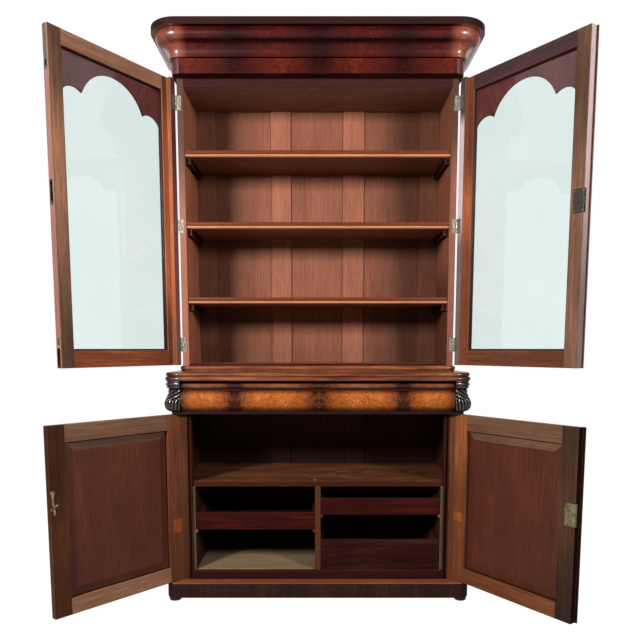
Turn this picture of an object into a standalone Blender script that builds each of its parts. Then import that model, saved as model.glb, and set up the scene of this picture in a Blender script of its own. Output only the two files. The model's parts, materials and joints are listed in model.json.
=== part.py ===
"""Bookcase on cupboard: glazed upper case with cornice, standing on a cupboard with a frieze drawer.

Metres, +Z up, the front faces -Y. The floor is z = 0, x = 0 is the middle of the case, and y = 0 is
half way between the back and the foremost edge of the open doors.
"""

import math

import bmesh
import bpy
from mathutils import Matrix, Vector

# Fits
SEAT_GAP = 0.0003
PIN_GAP = 0.0001
RUNNING_GAP = 0.0015
DOOR_GAP = 0.002
MEETING_GAP = 0.001

# Heights, from the floor up
FOOT_H = 0.017
PLINTH_H = 0.0665
LOWER_DOOR_H = 0.7185
HEAD_RAIL_T = 0.011
DRAWER_SPACE_H = 0.128
WAIST_TOP_T = 0.035
BASE_MOULDING_T = 0.0227
UPPER_DOOR_H = 1.207
FRIEZE_H = 0.060
CORNICE_H = 0.1252

# Widths and depths of the two cases
LOWER_CASE_W = 1.220
UPPER_SET_IN = 0.011
UPPER_CASE_W = LOWER_CASE_W - 2 * UPPER_SET_IN
UPPER_CASE_D = 0.314
UPPER_SIDE_T = 0.028
LOWER_CASE_D = 0.4885
LOWER_SIDE_T = 0.026
POST_W = 0.070
POST_D = 0.050
BACK_T = 0.020
BOARD_T = 0.018

# Mouldings, measured out from the faces they run round
CORNER_R = 0.040
FRIEZE_SIDE_OUT = 0.015
CORNICE_OUT = 0.082
CORNICE_WALL = 0.022
WAIST_SIDE_OUT = 0.032
WAIST_FRONT_OUT = 0.030
BASE_OUT = 0.008
PLINTH_SIDE_OUT = 0.037
PLINTH_FRONT_OUT = 0.022
PLINTH_WALL = 0.024
PLINTH_TOP_T = 0.018
FOOT_R = 0.026
FOOT_SET_IN = 0.032

# Panelled backs
BACK_STILE_W = 0.083
BACK_MUNTIN_W = 0.097
BACK_RAIL_W = 0.030
BACK_PANEL_SUNK = 0.009

# Upper case fittings
CEILING_T = 0.036
UPPER_FLOOR_UP = 0.006
SHELF_T = 0.028
SHELF_PLACES = (0.2494, 0.5253, 0.7824)
SHELF_FRONT_SET_BACK = 0.004
SHELF_NOSE_R = 0.005
BEARER_H = 0.026
BEARER_W = 0.020
BEARER_SET_BACK = 0.018

# Upper doors
UPPER_DOOR_T = 0.028
UPPER_STILE_D = 0.048
UPPER_STILE_ROUND = 0.036
UPPER_HANG_STILE_W = 0.058
UPPER_MEET_STILE_W = 0.056
UPPER_BOTTOM_RAIL_W = 0.066
UPPER_TOP_RAIL_W = 0.057
UPPER_OPEN_LEFT = 122.9
UPPER_OPEN_RIGHT = 124.5
GLASS_T = 0.003
GLASS_SET_BACK = 0.014
SPANDREL_T = 0.010
ARCH_CROWN_DROP = 0.030
ARCH_CUSP_DROP = 0.132
ARCH_SPRING_DROP = 0.158
ARCH_CUSP_OUT = 0.149
SIDE_LOBE_RISE = 0.024
COVER_STRIP_W = 0.020
COVER_STRIP_T = 0.006
COVER_STRIP_LAP = 0.008

# Butt hinges
HINGE_GAP = 0.003
HINGE_L = 0.060
KNUCKLE_R = 0.003
HINGE_PIN_R = 0.0012
LEAF_W = 0.021
LEAF_T = 0.0010
HINGE_BOTTOM_UP = 0.090
HINGE_TOP_DOWN = 0.098

# Lower doors, hung on pins in the centre of their rounded stiles
LOWER_DOOR_T = 0.026
LOWER_PIN_R = 0.004
LOWER_PIN_L = 0.008
LOWER_HANG_STILE_W = 0.090
LOWER_MEET_STILE_W = 0.066
LOWER_TOP_RAIL_W = 0.065
LOWER_BOTTOM_RAIL_W = 0.062
LOWER_PANEL_T = 0.012
LOWER_OPEN_LEFT = 131.2
LOWER_OPEN_RIGHT = 124.8
STILE_BACK_ROUND = 36.0
POST_HORN = 40.0

# Frieze drawer and corbels
DRAWER_FRONT_LAP = 0.029
DRAWER_FRONT_T = 0.034
DRAWER_CUSHION = 0.020
DRAWER_BAND_H = 0.022
DRAWER_WALL = 0.012
DRAWER_BACK_CLEAR = 0.040
DRAWER_BOX_H = 0.095
CORBEL_BULGE = 0.074
CORBEL_WAIST = 0.053
CORBEL_CAP = 0.063
CORBEL_FLATTEN = 0.75

# Cupboard inside
FLOOR_T = 0.020
FLOOR_RAIL_H = 0.015
FLOOR_RAIL_D = 0.022
INNER_SHELF_T = 0.022
INNER_SHELF_PLACE = 0.5732
INNER_SET_BACK = 0.016
DIVIDER_T = 0.024
LINING_T = 0.012
RUNNER_W = 0.010
RUNNER_H = 0.012
TRAY_WALL = 0.011
TRAY_BACK_CLEAR = 0.0225
LEFT_TRAY_PLACE = 0.4872
LEFT_TRAY_H = 0.076
RIGHT_TRAY_PLACE = 0.6647
RIGHT_TRAY_H = 0.072
DEEP_DRAWER_H = 0.136

# Locks, edge bolts and elbow catch
LOCK_W = 0.043
LOCK_H = 0.084
LOCK_T = 0.011
LOCK_PLATE_T = 0.002
LOCK_BOLT_H = 0.022
LOCK_BOLT_T = 0.005
LOCK_BOLT_L = 0.026
UPPER_LOCK_PLACE = 0.503
LOWER_LOCK_PLACE = 0.5588
EDGE_BOLT_W = 0.010
EDGE_BOLT_T = 0.004
EDGE_BOLT_L = 0.110
CATCH_OVER_SHELF = 0.0033
CATCH_PLATE_W = 0.016
CATCH_PLATE_H = 0.075
CATCH_PLATE_T = 0.002
CATCH_EDGE = 0.002
CATCH_PIN_R = 0.003
CATCH_REACH = 0.024
CATCH_LEVER_W = 0.008
CATCH_LEVER_T = 0.003
CATCH_LEVER_DROP = 0.036

# Heights worked out from the stack
PLINTH_TOP_Z = FOOT_H + PLINTH_H
LOWER_DOOR_Z = PLINTH_TOP_Z + DOOR_GAP
HEAD_RAIL_Z = LOWER_DOOR_Z + LOWER_DOOR_H + DOOR_GAP
DRAWER_SPACE_Z = HEAD_RAIL_Z + HEAD_RAIL_T
WAIST_Z = DRAWER_SPACE_Z + DRAWER_SPACE_H
WAIST_TOP_Z = WAIST_Z + WAIST_TOP_T
BASE_Z = WAIST_TOP_Z + SEAT_GAP
BASE_TOP_Z = BASE_Z + BASE_MOULDING_T
UPPER_DOOR_Z = BASE_TOP_Z + DOOR_GAP
UPPER_CASE_TOP_Z = UPPER_DOOR_Z + UPPER_DOOR_H + DOOR_GAP
FRIEZE_Z = UPPER_CASE_TOP_Z + SEAT_GAP
CORNICE_Z = FRIEZE_Z + FRIEZE_H + SEAT_GAP
FLOOR_Z = PLINTH_TOP_Z + SEAT_GAP + FLOOR_RAIL_H
FLOOR_TOP_Z = FLOOR_Z + FLOOR_T
INNER_SHELF_TOP = FLOOR_TOP_Z + INNER_SHELF_PLACE * (HEAD_RAIL_Z - FLOOR_TOP_Z)
INNER_SHELF_Z = INNER_SHELF_TOP - INNER_SHELF_T
LEFT_TRAY_Z = FLOOR_TOP_Z + LEFT_TRAY_PLACE * (INNER_SHELF_Z - FLOOR_TOP_Z)
RIGHT_TRAY_Z = FLOOR_TOP_Z + RIGHT_TRAY_PLACE * (INNER_SHELF_Z - FLOOR_TOP_Z)
UPPER_FLOOR_TOP_Z = UPPER_DOOR_Z + UPPER_FLOOR_UP
UPPER_CEILING_Z = UPPER_CASE_TOP_Z - CEILING_T
SHELF_HEIGHTS = [UPPER_FLOOR_TOP_Z + place * (UPPER_CEILING_Z - UPPER_FLOOR_TOP_Z) for place in SHELF_PLACES]
HINGE_LOW_Z = UPPER_DOOR_Z + HINGE_BOTTOM_UP
HINGE_HIGH_Z = UPPER_DOOR_Z + UPPER_DOOR_H - HINGE_TOP_DOWN
HINGE_HEIGHTS = (HINGE_LOW_Z, (HINGE_LOW_Z + HINGE_HIGH_Z) / 2, HINGE_HIGH_Z)
UPPER_LOCK_Z = UPPER_DOOR_Z + UPPER_LOCK_PLACE * UPPER_DOOR_H
LOWER_LOCK_Z = LOWER_DOOR_Z + LOWER_LOCK_PLACE * LOWER_DOOR_H
CATCH_Z = INNER_SHELF_TOP + CATCH_OVER_SHELF

# Places worked out in plan, from the back of the case forward
UPPER_HALF_W = UPPER_CASE_W / 2
LOWER_HALF_W = LOWER_CASE_W / 2
UPPER_PIVOT_X = UPPER_HALF_W + KNUCKLE_R
UPPER_PIVOT_Y = -(UPPER_CASE_D + HINGE_GAP / 2)
UPPER_FRONT_Y = -(UPPER_CASE_D + HINGE_GAP + UPPER_STILE_D)
LOWER_PIVOT_X = LOWER_HALF_W - DOOR_GAP - LOWER_DOOR_T
LOWER_PIVOT_Y = -(LOWER_CASE_D + RUNNING_GAP)
LOWER_FRONT_Y = LOWER_PIVOT_Y - LOWER_DOOR_T
HOLLOW_R = LOWER_DOOR_T + MEETING_GAP
POST_INNER_X = LOWER_HALF_W - POST_W
LINING_INNER_X = POST_INNER_X - SEAT_GAP - LINING_T
UPPER_DOOR_W = UPPER_PIVOT_X - MEETING_GAP
LOWER_DOOR_W = LOWER_PIVOT_X - MEETING_GAP
FOREMOST_Y = LOWER_PIVOT_Y - LOWER_DOOR_W * math.sin(math.radians(LOWER_OPEN_RIGHT))
BACK_PLACE_Y = -FOREMOST_Y / 2

LEFT = -1
RIGHT = 1
SIDES = {LEFT: "left", RIGHT: "right"}


def clear_scene():
    for old in list(bpy.data.objects):
        bpy.data.objects.remove(old, do_unlink=True)


def new_collection(name):
    group = bpy.data.collections.new(name)
    bpy.context.scene.collection.children.link(group)
    return group


def finish(name, hex_colour, roughness, metallic=0.0, alpha=1.0):
    """Principled material from an sRGB colour."""
    shades = []
    for start in (0, 2, 4):
        value = int(hex_colour[start:start + 2], 16) / 255
        shades.append(value / 12.92 if value <= 0.04045 else ((value + 0.055) / 1.055) ** 2.4)
    material = bpy.data.materials.new(name)
    material.use_nodes = True
    shader = material.node_tree.nodes["Principled BSDF"]
    shader.inputs["Base Color"].default_value = (*shades, 1.0)
    shader.inputs["Roughness"].default_value = roughness
    shader.inputs["Metallic"].default_value = metallic
    shader.inputs["Alpha"].default_value = alpha
    return material


clear_scene()
PARTS = new_collection("bookcase_on_cupboard")
CUTTERS = new_collection("cutters")

MAHOGANY = finish("polished_mahogany", "6E2A1A", 0.30)
FLAME = finish("flame_mahogany", "A65A2A", 0.28)
INSIDE = finish("inside_mahogany", "6B3A28", 0.55)
CARVED = finish("carved_mahogany", "3A1712", 0.35)
PINE = finish("pine", "A8906A", 0.70)
BRASS = finish("tarnished_brass", "8C8670", 0.45, 1.0)
STEEL = finish("lock_steel", "55504A", 0.45, 1.0)
GLASS = finish("glass", "DDE9E8", 0.05, 0.0, 0.35)


def empty(name, place, turn=0.0, parent=None):
    """An empty on a joint's axis, turned about Z in degrees."""
    frame = bpy.data.objects.new(name, None)
    frame.location = place
    frame.rotation_euler = (0.0, 0.0, math.radians(turn))
    frame.parent = parent
    PARTS.objects.link(frame)
    return frame


ROOT = empty("bookcase_root", (0.0, BACK_PLACE_Y, 0.0))


def add_object(name, mesh, material, parent):
    piece = bpy.data.objects.new(name, mesh)
    if material is None:
        CUTTERS.objects.link(piece)
        piece.hide_render = True
        piece.display_type = 'WIRE'
    else:
        PARTS.objects.link(piece)
        mesh.materials.append(material)
    piece.parent = parent
    return piece


def board(name, x, y, z, material=None, parent=ROOT):
    """A rectangular board between two limits on each axis."""
    limits = [sorted(span) for span in (x, y, z)]
    middle = Vector([(low + high) / 2 for low, high in limits])
    size = Vector([high - low for low, high in limits])
    bm = bmesh.new()
    bmesh.ops.create_cube(bm, size=1.0, matrix=Matrix.Translation(middle) @ Matrix.Diagonal((*size, 1.0)))
    mesh = bpy.data.meshes.new(name)
    bm.to_mesh(mesh)
    bm.free()
    return add_object(name, mesh, material, parent)


def rod(name, centre, radius, z, material=None, parent=ROOT, sides=24):
    """An upright round bar."""
    low, high = z
    place = Matrix.Translation((*centre, (low + high) / 2))
    bm = bmesh.new()
    bmesh.ops.create_cone(bm, cap_ends=True, segments=sides, radius1=radius, radius2=radius,
                          depth=high - low, matrix=place)
    mesh = bpy.data.meshes.new(name)
    bm.to_mesh(mesh)
    bm.free()
    return add_object(name, mesh, material, parent)


AXIS_TURNS = {
    "Z": Matrix.Identity(4),
    "X": Matrix(((0, 0, 1, 0), (1, 0, 0, 0), (0, 1, 0, 0), (0, 0, 0, 1))),
    "Y": Matrix(((1, 0, 0, 0), (0, 0, -1, 0), (0, 1, 0, 0), (0, 0, 0, 1))),
}


def profile(name, loops, span, axis, material=None, parent=ROOT):
    """A flat outline, with holes, extruded along an axis.

    The loops hold (x, y) for Z, (y, z) for X and (x, z) for Y.
    """
    low, high = span
    curve = bpy.data.curves.new(name, 'CURVE')
    curve.dimensions = '2D'
    curve.fill_mode = 'BOTH'
    curve.extrude = (high - low) / 2
    for loop in loops:
        spline = curve.splines.new('POLY')
        spline.points.add(len(loop) - 1)
        for point, (u, v) in zip(spline.points, loop):
            point.co = (u, v, 0.0, 1.0)
        spline.use_cyclic_u = True
    outline = bpy.data.objects.new(name, curve)
    CUTTERS.objects.link(outline)
    shown = outline.evaluated_get(bpy.context.evaluated_depsgraph_get())
    mesh = bpy.data.meshes.new_from_object(shown)
    bpy.data.objects.remove(outline)
    bpy.data.curves.remove(curve)
    middle = (low + high) / 2
    along = {"X": (middle, 0, 0), "Y": (0, middle, 0), "Z": (0, 0, middle)}[axis]
    mesh.transform(Matrix.Translation(along) @ AXIS_TURNS[axis])
    bm = bmesh.new()
    bm.from_mesh(mesh)
    bmesh.ops.remove_doubles(bm, verts=bm.verts, dist=0.00002)
    if len(loops) == 1:
        bmesh.ops.dissolve_limit(bm, angle_limit=0.001, verts=bm.verts, edges=bm.edges)
    bmesh.ops.recalc_face_normals(bm, faces=bm.faces)
    bm.to_mesh(mesh)
    bm.free()
    mesh.materials.clear()
    return add_object(name, mesh, material, parent)


def combine(piece, tool, operation):
    change = piece.modifiers.new(tool.name, 'BOOLEAN')
    change.operation = operation
    change.object = tool


def cut(piece, tool):
    combine(piece, tool, 'DIFFERENCE')


def fuse(piece, tool):
    combine(piece, tool, 'UNION')


def soften(piece, width, segments=2, angle=30.0):
    bevel = piece.modifiers.new("soft_edges", 'BEVEL')
    bevel.width = width
    bevel.segments = segments
    bevel.limit_method = 'ANGLE'
    bevel.angle_limit = math.radians(angle)


def arc(centre, radius, start, stop, steps):
    """Points on a circle, from one angle to another in degrees."""
    points = []
    for step in range(steps + 1):
        angle = math.radians(start + (stop - start) * step / steps)
        points.append((centre[0] + radius * math.cos(angle), centre[1] + radius * math.sin(angle)))
    return points


def bow(first, last, rise, steps):
    """Points on the arc that joins two points and bulges to the left of the way between them."""
    a, b = Vector(first), Vector(last)
    half = (b - a).length / 2
    radius = (half * half + rise * rise) / (2 * rise)
    left = Vector((-(b - a).y, (b - a).x)).normalized()
    centre = (a + b) / 2 + left * (rise - radius)
    start = math.degrees(math.atan2(a.y - centre.y, a.x - centre.x))
    stop = math.degrees(math.atan2(b.y - centre.y, b.x - centre.x))
    if stop > start:
        stop -= 360
    return arc(centre, radius, start, stop, steps)


def rounded_front(half_width, front, back, radius, steps=8):
    """Plan outline with the two front corners rounded."""
    turn_x = half_width - radius
    turn_y = front + radius
    left = arc((-turn_x, turn_y), radius, 180, 270, steps)
    right = arc((turn_x, turn_y), radius, 270, 360, steps)
    return [(-half_width, back)] + left + right + [(half_width, back)]


def mirrored(points, side):
    """Plan points written for the right side, given for either side."""
    return [(side * u, v) for u, v in points]


def swept(name, section, half_width, front, radius, material, steps=8):
    """A section of (out, z) carried along the left side, the front and the right side."""
    bm = bmesh.new()
    ring = [bm.verts.new((-(half_width + out), 0.0, z)) for out, z in section]
    face = bm.faces.new(ring)

    def run(shift):
        nonlocal face
        made = bmesh.ops.extrude_face_region(bm, geom=[face, *face.edges, *face.verts])["geom"]
        bmesh.ops.translate(bm, vec=shift, verts=[v for v in made if isinstance(v, bmesh.types.BMVert)])
        face = [f for f in made if isinstance(f, bmesh.types.BMFace)][0]

    def turn(centre):
        nonlocal face
        made = bmesh.ops.spin(bm, geom=[face, *face.edges, *face.verts], cent=(*centre, 0.0),
                              axis=(0.0, 0.0, 1.0), angle=math.pi / 2, steps=steps)["geom_last"]
        face = [f for f in made if isinstance(f, bmesh.types.BMFace)][0]

    corner_x = half_width - radius
    corner_y = front + radius
    run((0.0, corner_y, 0.0))
    turn((-corner_x, corner_y))
    run((2 * corner_x, 0.0, 0.0))
    turn((corner_x, corner_y))
    run((0.0, -corner_y, 0.0))
    bmesh.ops.recalc_face_normals(bm, faces=bm.faces)
    mesh = bpy.data.meshes.new(name)
    bm.to_mesh(mesh)
    bm.free()
    return add_object(name, mesh, material, ROOT)


def between_posts(front, back):
    """Plan outline that fits between the corner posts and widens to the sides behind them."""
    narrow = POST_INNER_X - SEAT_GAP
    wide = LOWER_HALF_W - LOWER_SIDE_T - SEAT_GAP
    step_y = POST_D - LOWER_CASE_D + SEAT_GAP
    right = [(narrow, front), (narrow, step_y), (wide, step_y + RUNNING_GAP), (wide, back)]
    return right + [(-x, y) for x, y in reversed(right)]


def panelled_back(name, half_width, z):
    """A back of stiles, muntins and rails with three sunk panels."""
    low, high = z
    back = board(name, (-half_width, half_width), (-BACK_T, 0.0), z, INSIDE)
    panel_face = -BACK_T + BACK_PANEL_SUNK
    clear_w = 2 * (half_width - BACK_STILE_W) - 2 * BACK_MUNTIN_W
    panel_w = clear_w / 3
    start = -half_width + BACK_STILE_W
    for number in range(3):
        span = (start, start + panel_w)
        pocket = board(f"{name}_panel_cut_{number}", span, (-2 * BACK_T, panel_face),
                       (low + BACK_RAIL_W, high - BACK_RAIL_W))
        cut(back, pocket)
        start += panel_w + BACK_MUNTIN_W
    return back


def make_plinth():
    half_width = LOWER_HALF_W + PLINTH_SIDE_OUT
    front = LOWER_FRONT_Y - PLINTH_FRONT_OUT
    outline = rounded_front(half_width, front, 0.0, CORNER_R)
    plinth = profile("plinth", [outline], (FOOT_H, PLINTH_TOP_Z), "Z", MAHOGANY)
    inner = half_width - PLINTH_WALL
    cut(plinth, board("plinth_hollow", (-inner, inner), (front + PLINTH_WALL, -PLINTH_WALL),
                      (0.0, PLINTH_TOP_Z - PLINTH_TOP_T)))
    for side in SIDES:
        for end, y in (("front", front + FOOT_SET_IN), ("back", -FOOT_SET_IN)):
            centre = (side * (half_width - FOOT_SET_IN), y)
            foot = rod(f"foot_{SIDES[side]}_{end}", centre, FOOT_R, (0.0, PLINTH_TOP_Z - PLINTH_TOP_T / 2))
            fuse(plinth, foot)
        pin_hole = rod(f"plinth_pin_hole_{SIDES[side]}", (side * LOWER_PIVOT_X, LOWER_PIVOT_Y),
                       LOWER_PIN_R + PIN_GAP, (PLINTH_TOP_Z - LOWER_PIN_L - DOOR_GAP, LOWER_DOOR_Z))
        cut(plinth, pin_hole)


def make_lower_sides():
    pivot = (LOWER_PIVOT_X, LOWER_PIVOT_Y)
    flat = 180 - math.degrees(math.asin(RUNNING_GAP / HOLLOW_R))
    hollow = arc(pivot, HOLLOW_R, POST_HORN, flat, 12)
    inner = LOWER_HALF_W - LOWER_SIDE_T
    post_back = POST_D - LOWER_CASE_D
    outline = [(LOWER_HALF_W, 0.0), (LOWER_HALF_W, hollow[0][1])] + hollow
    outline += [(POST_INNER_X, -LOWER_CASE_D), (POST_INNER_X, post_back), (inner, post_back), (inner, 0.0)]
    for side in SIDES:
        profile(f"cupboard_{SIDES[side]}_side", [mirrored(outline, side)],
                (PLINTH_TOP_Z + SEAT_GAP, WAIST_Z - SEAT_GAP), "Z", MAHOGANY)


def make_cupboard_inside():
    back_face = -BACK_T - SEAT_GAP
    panelled_back("cupboard_back", LOWER_HALF_W - LOWER_SIDE_T - SEAT_GAP,
                  (PLINTH_TOP_Z + SEAT_GAP, WAIST_Z - SEAT_GAP))
    floor = profile("cupboard_floor", [between_posts(-LOWER_CASE_D, back_face)],
                    (FLOOR_Z, FLOOR_TOP_Z), "Z", INSIDE)
    rail_half = POST_INNER_X - MEETING_GAP
    rail_front = MEETING_GAP - LOWER_CASE_D
    fuse(floor, board("floor_rail", (-rail_half, rail_half), (rail_front, rail_front + FLOOR_RAIL_D),
                      (PLINTH_TOP_Z + SEAT_GAP, FLOOR_Z + FLOOR_T / 2)))
    front = -LOWER_CASE_D + INNER_SET_BACK
    profile("inner_shelf", [between_posts(front, back_face)],
            (INNER_SHELF_Z, INNER_SHELF_TOP), "Z", INSIDE)

    low = FLOOR_TOP_Z + SEAT_GAP
    high = INNER_SHELF_Z - SEAT_GAP
    left_runner = LEFT_TRAY_Z - SEAT_GAP
    right_runner = RIGHT_TRAY_Z - SEAT_GAP
    half = DIVIDER_T / 2

    def ledge(face, out, top):
        return [(face, top - RUNNER_H), (face + out, top - RUNNER_H), (face + out, top), (face, top)]

    divider = [(half, low)] + ledge(half, RUNNER_W, right_runner) + [(half, high), (-half, high)]
    divider += list(reversed(ledge(-half, -RUNNER_W, left_runner))) + [(-half, low)]
    profile("centre_divider", [divider], (front, back_face), "Y", INSIDE)
    for side, runner in ((LEFT, left_runner), (RIGHT, right_runner)):
        inner, outer = side * LINING_INNER_X, side * (LINING_INNER_X + LINING_T)
        lining = [(outer, low), (inner, low)] + ledge(inner, -side * RUNNER_W, runner)
        lining += [(inner, high), (outer, high)]
        profile(f"{SIDES[side]}_lining", [lining], (front, back_face), "Y", PINE)


def open_box(name, x, y, z, wall, material, parent):
    """A box with four sides and a bottom."""
    box = board(name, x, y, z, material, parent)
    inside_x = (min(x) + wall, max(x) - wall)
    inside_y = (min(y) + wall, max(y) - wall)
    cut(box, board(f"{name}_inside", inside_x, inside_y, (min(z) + wall, max(z) + wall), None, parent))
    return box


def make_trays():
    near = DIVIDER_T / 2 + RUNNING_GAP
    far = LINING_INNER_X - RUNNING_GAP
    front = -LOWER_CASE_D + INNER_SET_BACK
    depth = (front, -BACK_T - TRAY_BACK_CLEAR)
    deep_z = FLOOR_TOP_Z + SEAT_GAP
    for name, side, z, height in (("left_tray", LEFT, LEFT_TRAY_Z, LEFT_TRAY_H),
                                  ("right_tray", RIGHT, RIGHT_TRAY_Z, RIGHT_TRAY_H),
                                  ("deep_drawer", RIGHT, deep_z, DEEP_DRAWER_H)):
        slide = empty(f"{name}_slide", (0.0, 0.0, 0.0), parent=ROOT)
        open_box(name, (side * near, side * far), depth, (z, z + height), TRAY_WALL, MAHOGANY, slide)


def make_head_rail():
    """Rail over the doors with a rounded ear round each pin, and the dust board behind it."""
    pivot = (LOWER_PIVOT_X, LOWER_PIVOT_Y)
    ear_r = HOLLOW_R - SEAT_GAP
    flat = 180 - math.degrees(math.asin(RUNNING_GAP / HOLLOW_R)) - 1.0
    ear = arc(pivot, ear_r, POST_HORN - 2.0, flat, 12)
    rail_back = LOWER_PIVOT_Y + RUNNING_GAP - SEAT_GAP
    rail_front = LOWER_FRONT_Y + MEETING_GAP
    inner = between_posts(rail_back, -BACK_T - SEAT_GAP)
    outer_x = LOWER_HALF_W - SEAT_GAP
    right = [(0.0, rail_front), (outer_x, rail_front), (outer_x, ear[0][1])] + ear
    right += [(ear[-1][0], rail_back)] + inner[:4]
    outline = right + [(-x, y) for x, y in reversed(right[1:])]
    holes = [arc((side * LOWER_PIVOT_X, LOWER_PIVOT_Y), LOWER_PIN_R + PIN_GAP, 0, 345, 23) for side in SIDES]
    profile("head_rail", [outline] + holes, (HEAD_RAIL_Z, DRAWER_SPACE_Z), "Z", INSIDE)


def make_corbels():
    """Corner brackets: a scrolled section turned a quarter round the corner."""
    low = DRAWER_SPACE_Z + SEAT_GAP
    height = DRAWER_SPACE_H - 2 * SEAT_GAP
    section = [(0.0, 1.0), (CORBEL_CAP, 1.0), (CORBEL_CAP, 0.95), (CORBEL_CAP - 0.004, 0.93),
               (CORBEL_CAP + 0.002, 0.89), (CORBEL_CAP + 0.001, 0.84), (CORBEL_CAP - 0.005, 0.80),
               (CORBEL_WAIST + 0.002, 0.74), (CORBEL_WAIST, 0.64), (CORBEL_WAIST + 0.006, 0.52),
               (CORBEL_BULGE - 0.006, 0.38), (CORBEL_BULGE, 0.24), (CORBEL_BULGE - 0.004, 0.12),
               (CORBEL_WAIST + 0.006, 0.03), (CORBEL_WAIST - 0.004, 0.0), (0.0, 0.0)]
    corner_x = POST_INNER_X + DRAWER_FRONT_LAP + DOOR_GAP
    corner_y = -LOWER_CASE_D - SEAT_GAP
    for side, start in ((LEFT, math.pi), (RIGHT, -math.pi / 2)):
        bm = bmesh.new()
        ring = [bm.verts.new((out * math.cos(start), out * math.sin(start), low + part * height))
                for out, part in section]
        face = bm.faces.new(ring)
        bmesh.ops.spin(bm, geom=[face, *face.edges, *face.verts], cent=(0, 0, 0), axis=(0, 0, 1),
                       angle=math.pi / 2, steps=8)
        bmesh.ops.remove_doubles(bm, verts=bm.verts, dist=0.00002)
        bmesh.ops.scale(bm, vec=(1.0, CORBEL_FLATTEN, 1.0), verts=bm.verts)
        bmesh.ops.translate(bm, vec=(side * corner_x, corner_y, 0.0), verts=bm.verts)
        bmesh.ops.recalc_face_normals(bm, faces=bm.faces)
        name = f"{SIDES[side]}_corbel"
        mesh = bpy.data.meshes.new(name)
        bm.to_mesh(mesh)
        bm.free()
        add_object(name, mesh, CARVED, ROOT)


def make_frieze_drawer():
    slide = empty("frieze_drawer_slide", (0.0, 0.0, 0.0), parent=ROOT)
    back = -LOWER_CASE_D - RUNNING_GAP
    low = DRAWER_SPACE_Z + RUNNING_GAP
    high = WAIST_Z - RUNNING_GAP
    band_low = high - DRAWER_BAND_H
    face = back - DRAWER_FRONT_T
    cushion = bow((face + 0.006, low), (face + 0.006, band_low - 0.003), DRAWER_CUSHION, 10)
    section = [(back, high), (back, low)] + cushion
    section += [(face + 0.004, band_low - 0.003), (face + 0.004, band_low)]
    section += bow((face, band_low), (face, high), 0.004, 4)
    half = POST_INNER_X + DRAWER_FRONT_LAP
    profile("frieze_drawer_front", [section], (-half, half), "X", FLAME, slide)
    box_half = POST_INNER_X - RUNNING_GAP
    open_box("frieze_drawer_box", (-box_half, box_half), (back + SEAT_GAP, -BACK_T - DRAWER_BACK_CLEAR),
             (DRAWER_SPACE_Z + SEAT_GAP, DRAWER_SPACE_Z + DRAWER_BOX_H), DRAWER_WALL, PINE, slide)


def make_waist_top():
    half_width = LOWER_HALF_W
    front = LOWER_FRONT_Y
    low, high = WAIST_Z, WAIST_TOP_Z
    inward = -CORNER_R + 0.008
    out = WAIST_SIDE_OUT
    section = [(inward, low), (out - 0.016, low), (out - 0.013, low + 0.004), (out - 0.004, low + 0.010),
               (out, low + 0.012), (out, low + 0.022), (out - 0.006, low + 0.0225),
               (out - 0.009, low + 0.025), (out - 0.009, high - 0.002), (out - 0.012, high), (inward, high)]
    run_front = front + WAIST_SIDE_OUT - WAIST_FRONT_OUT
    top = swept("cupboard_top", section, half_width, run_front, CORNER_R, MAHOGANY)
    lap = half_width + inward / 2
    fuse(top, board("top_board", (-lap, lap), (front - inward / 2, 0.0), (low + 0.001, high - 0.001)))


def make_upper_case():
    inner = UPPER_HALF_W - UPPER_SIDE_T
    fit = inner - SEAT_GAP
    back_face = -BACK_T - SEAT_GAP
    for side in SIDES:
        name = f"bookcase_{SIDES[side]}_side"
        wall = board(name, (side * inner, side * UPPER_HALF_W), (-UPPER_CASE_D, 0.0),
                     (BASE_Z, UPPER_CASE_TOP_Z), MAHOGANY)
        for number, top in enumerate(SHELF_HEIGHTS, 1):
            under = top - SHELF_T - SEAT_GAP
            bearer_x = (side * (inner - BEARER_W), side * (inner + UPPER_SIDE_T / 4))
            bearer = board(f"{name}_bearer_{number}", bearer_x,
                           (-UPPER_CASE_D + BEARER_SET_BACK, back_face), (under - BEARER_H, under))
            fuse(wall, bearer)
    board("bookcase_ceiling", (-fit, fit), (-UPPER_CASE_D, back_face),
          (UPPER_CEILING_Z, UPPER_CASE_TOP_Z), INSIDE)
    board("bookcase_floor", (-fit, fit), (-UPPER_CASE_D, back_face),
          (UPPER_FLOOR_TOP_Z - BOARD_T, UPPER_FLOOR_TOP_Z), INSIDE)
    panelled_back("bookcase_back", fit, (BASE_Z, UPPER_CASE_TOP_Z))
    shelf_half = inner - RUNNING_GAP
    for number, top in enumerate(SHELF_HEIGHTS, 1):
        shelf = board(f"shelf_{number}", (-shelf_half, shelf_half),
                      (-UPPER_CASE_D + SHELF_FRONT_SET_BACK, back_face), (top - SHELF_T, top), INSIDE)
        soften(shelf, SHELF_NOSE_R)

    outer = rounded_front(UPPER_HALF_W + BASE_OUT, UPPER_FRONT_Y - BASE_OUT, 0.0,
                          UPPER_STILE_ROUND + BASE_OUT)
    base = profile("bookcase_base_moulding", [outer], (BASE_Z, BASE_TOP_Z), "Z", MAHOGANY)
    soften(base, 0.004, 2, 60.0)
    notch_x = UPPER_HALF_W + SEAT_GAP
    cut(base, board("base_moulding_notch", (-notch_x, notch_x), (-UPPER_CASE_D - SEAT_GAP, UPPER_CASE_D),
                    (BASE_Z - BASE_MOULDING_T, BASE_TOP_Z + BASE_MOULDING_T)))


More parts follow.
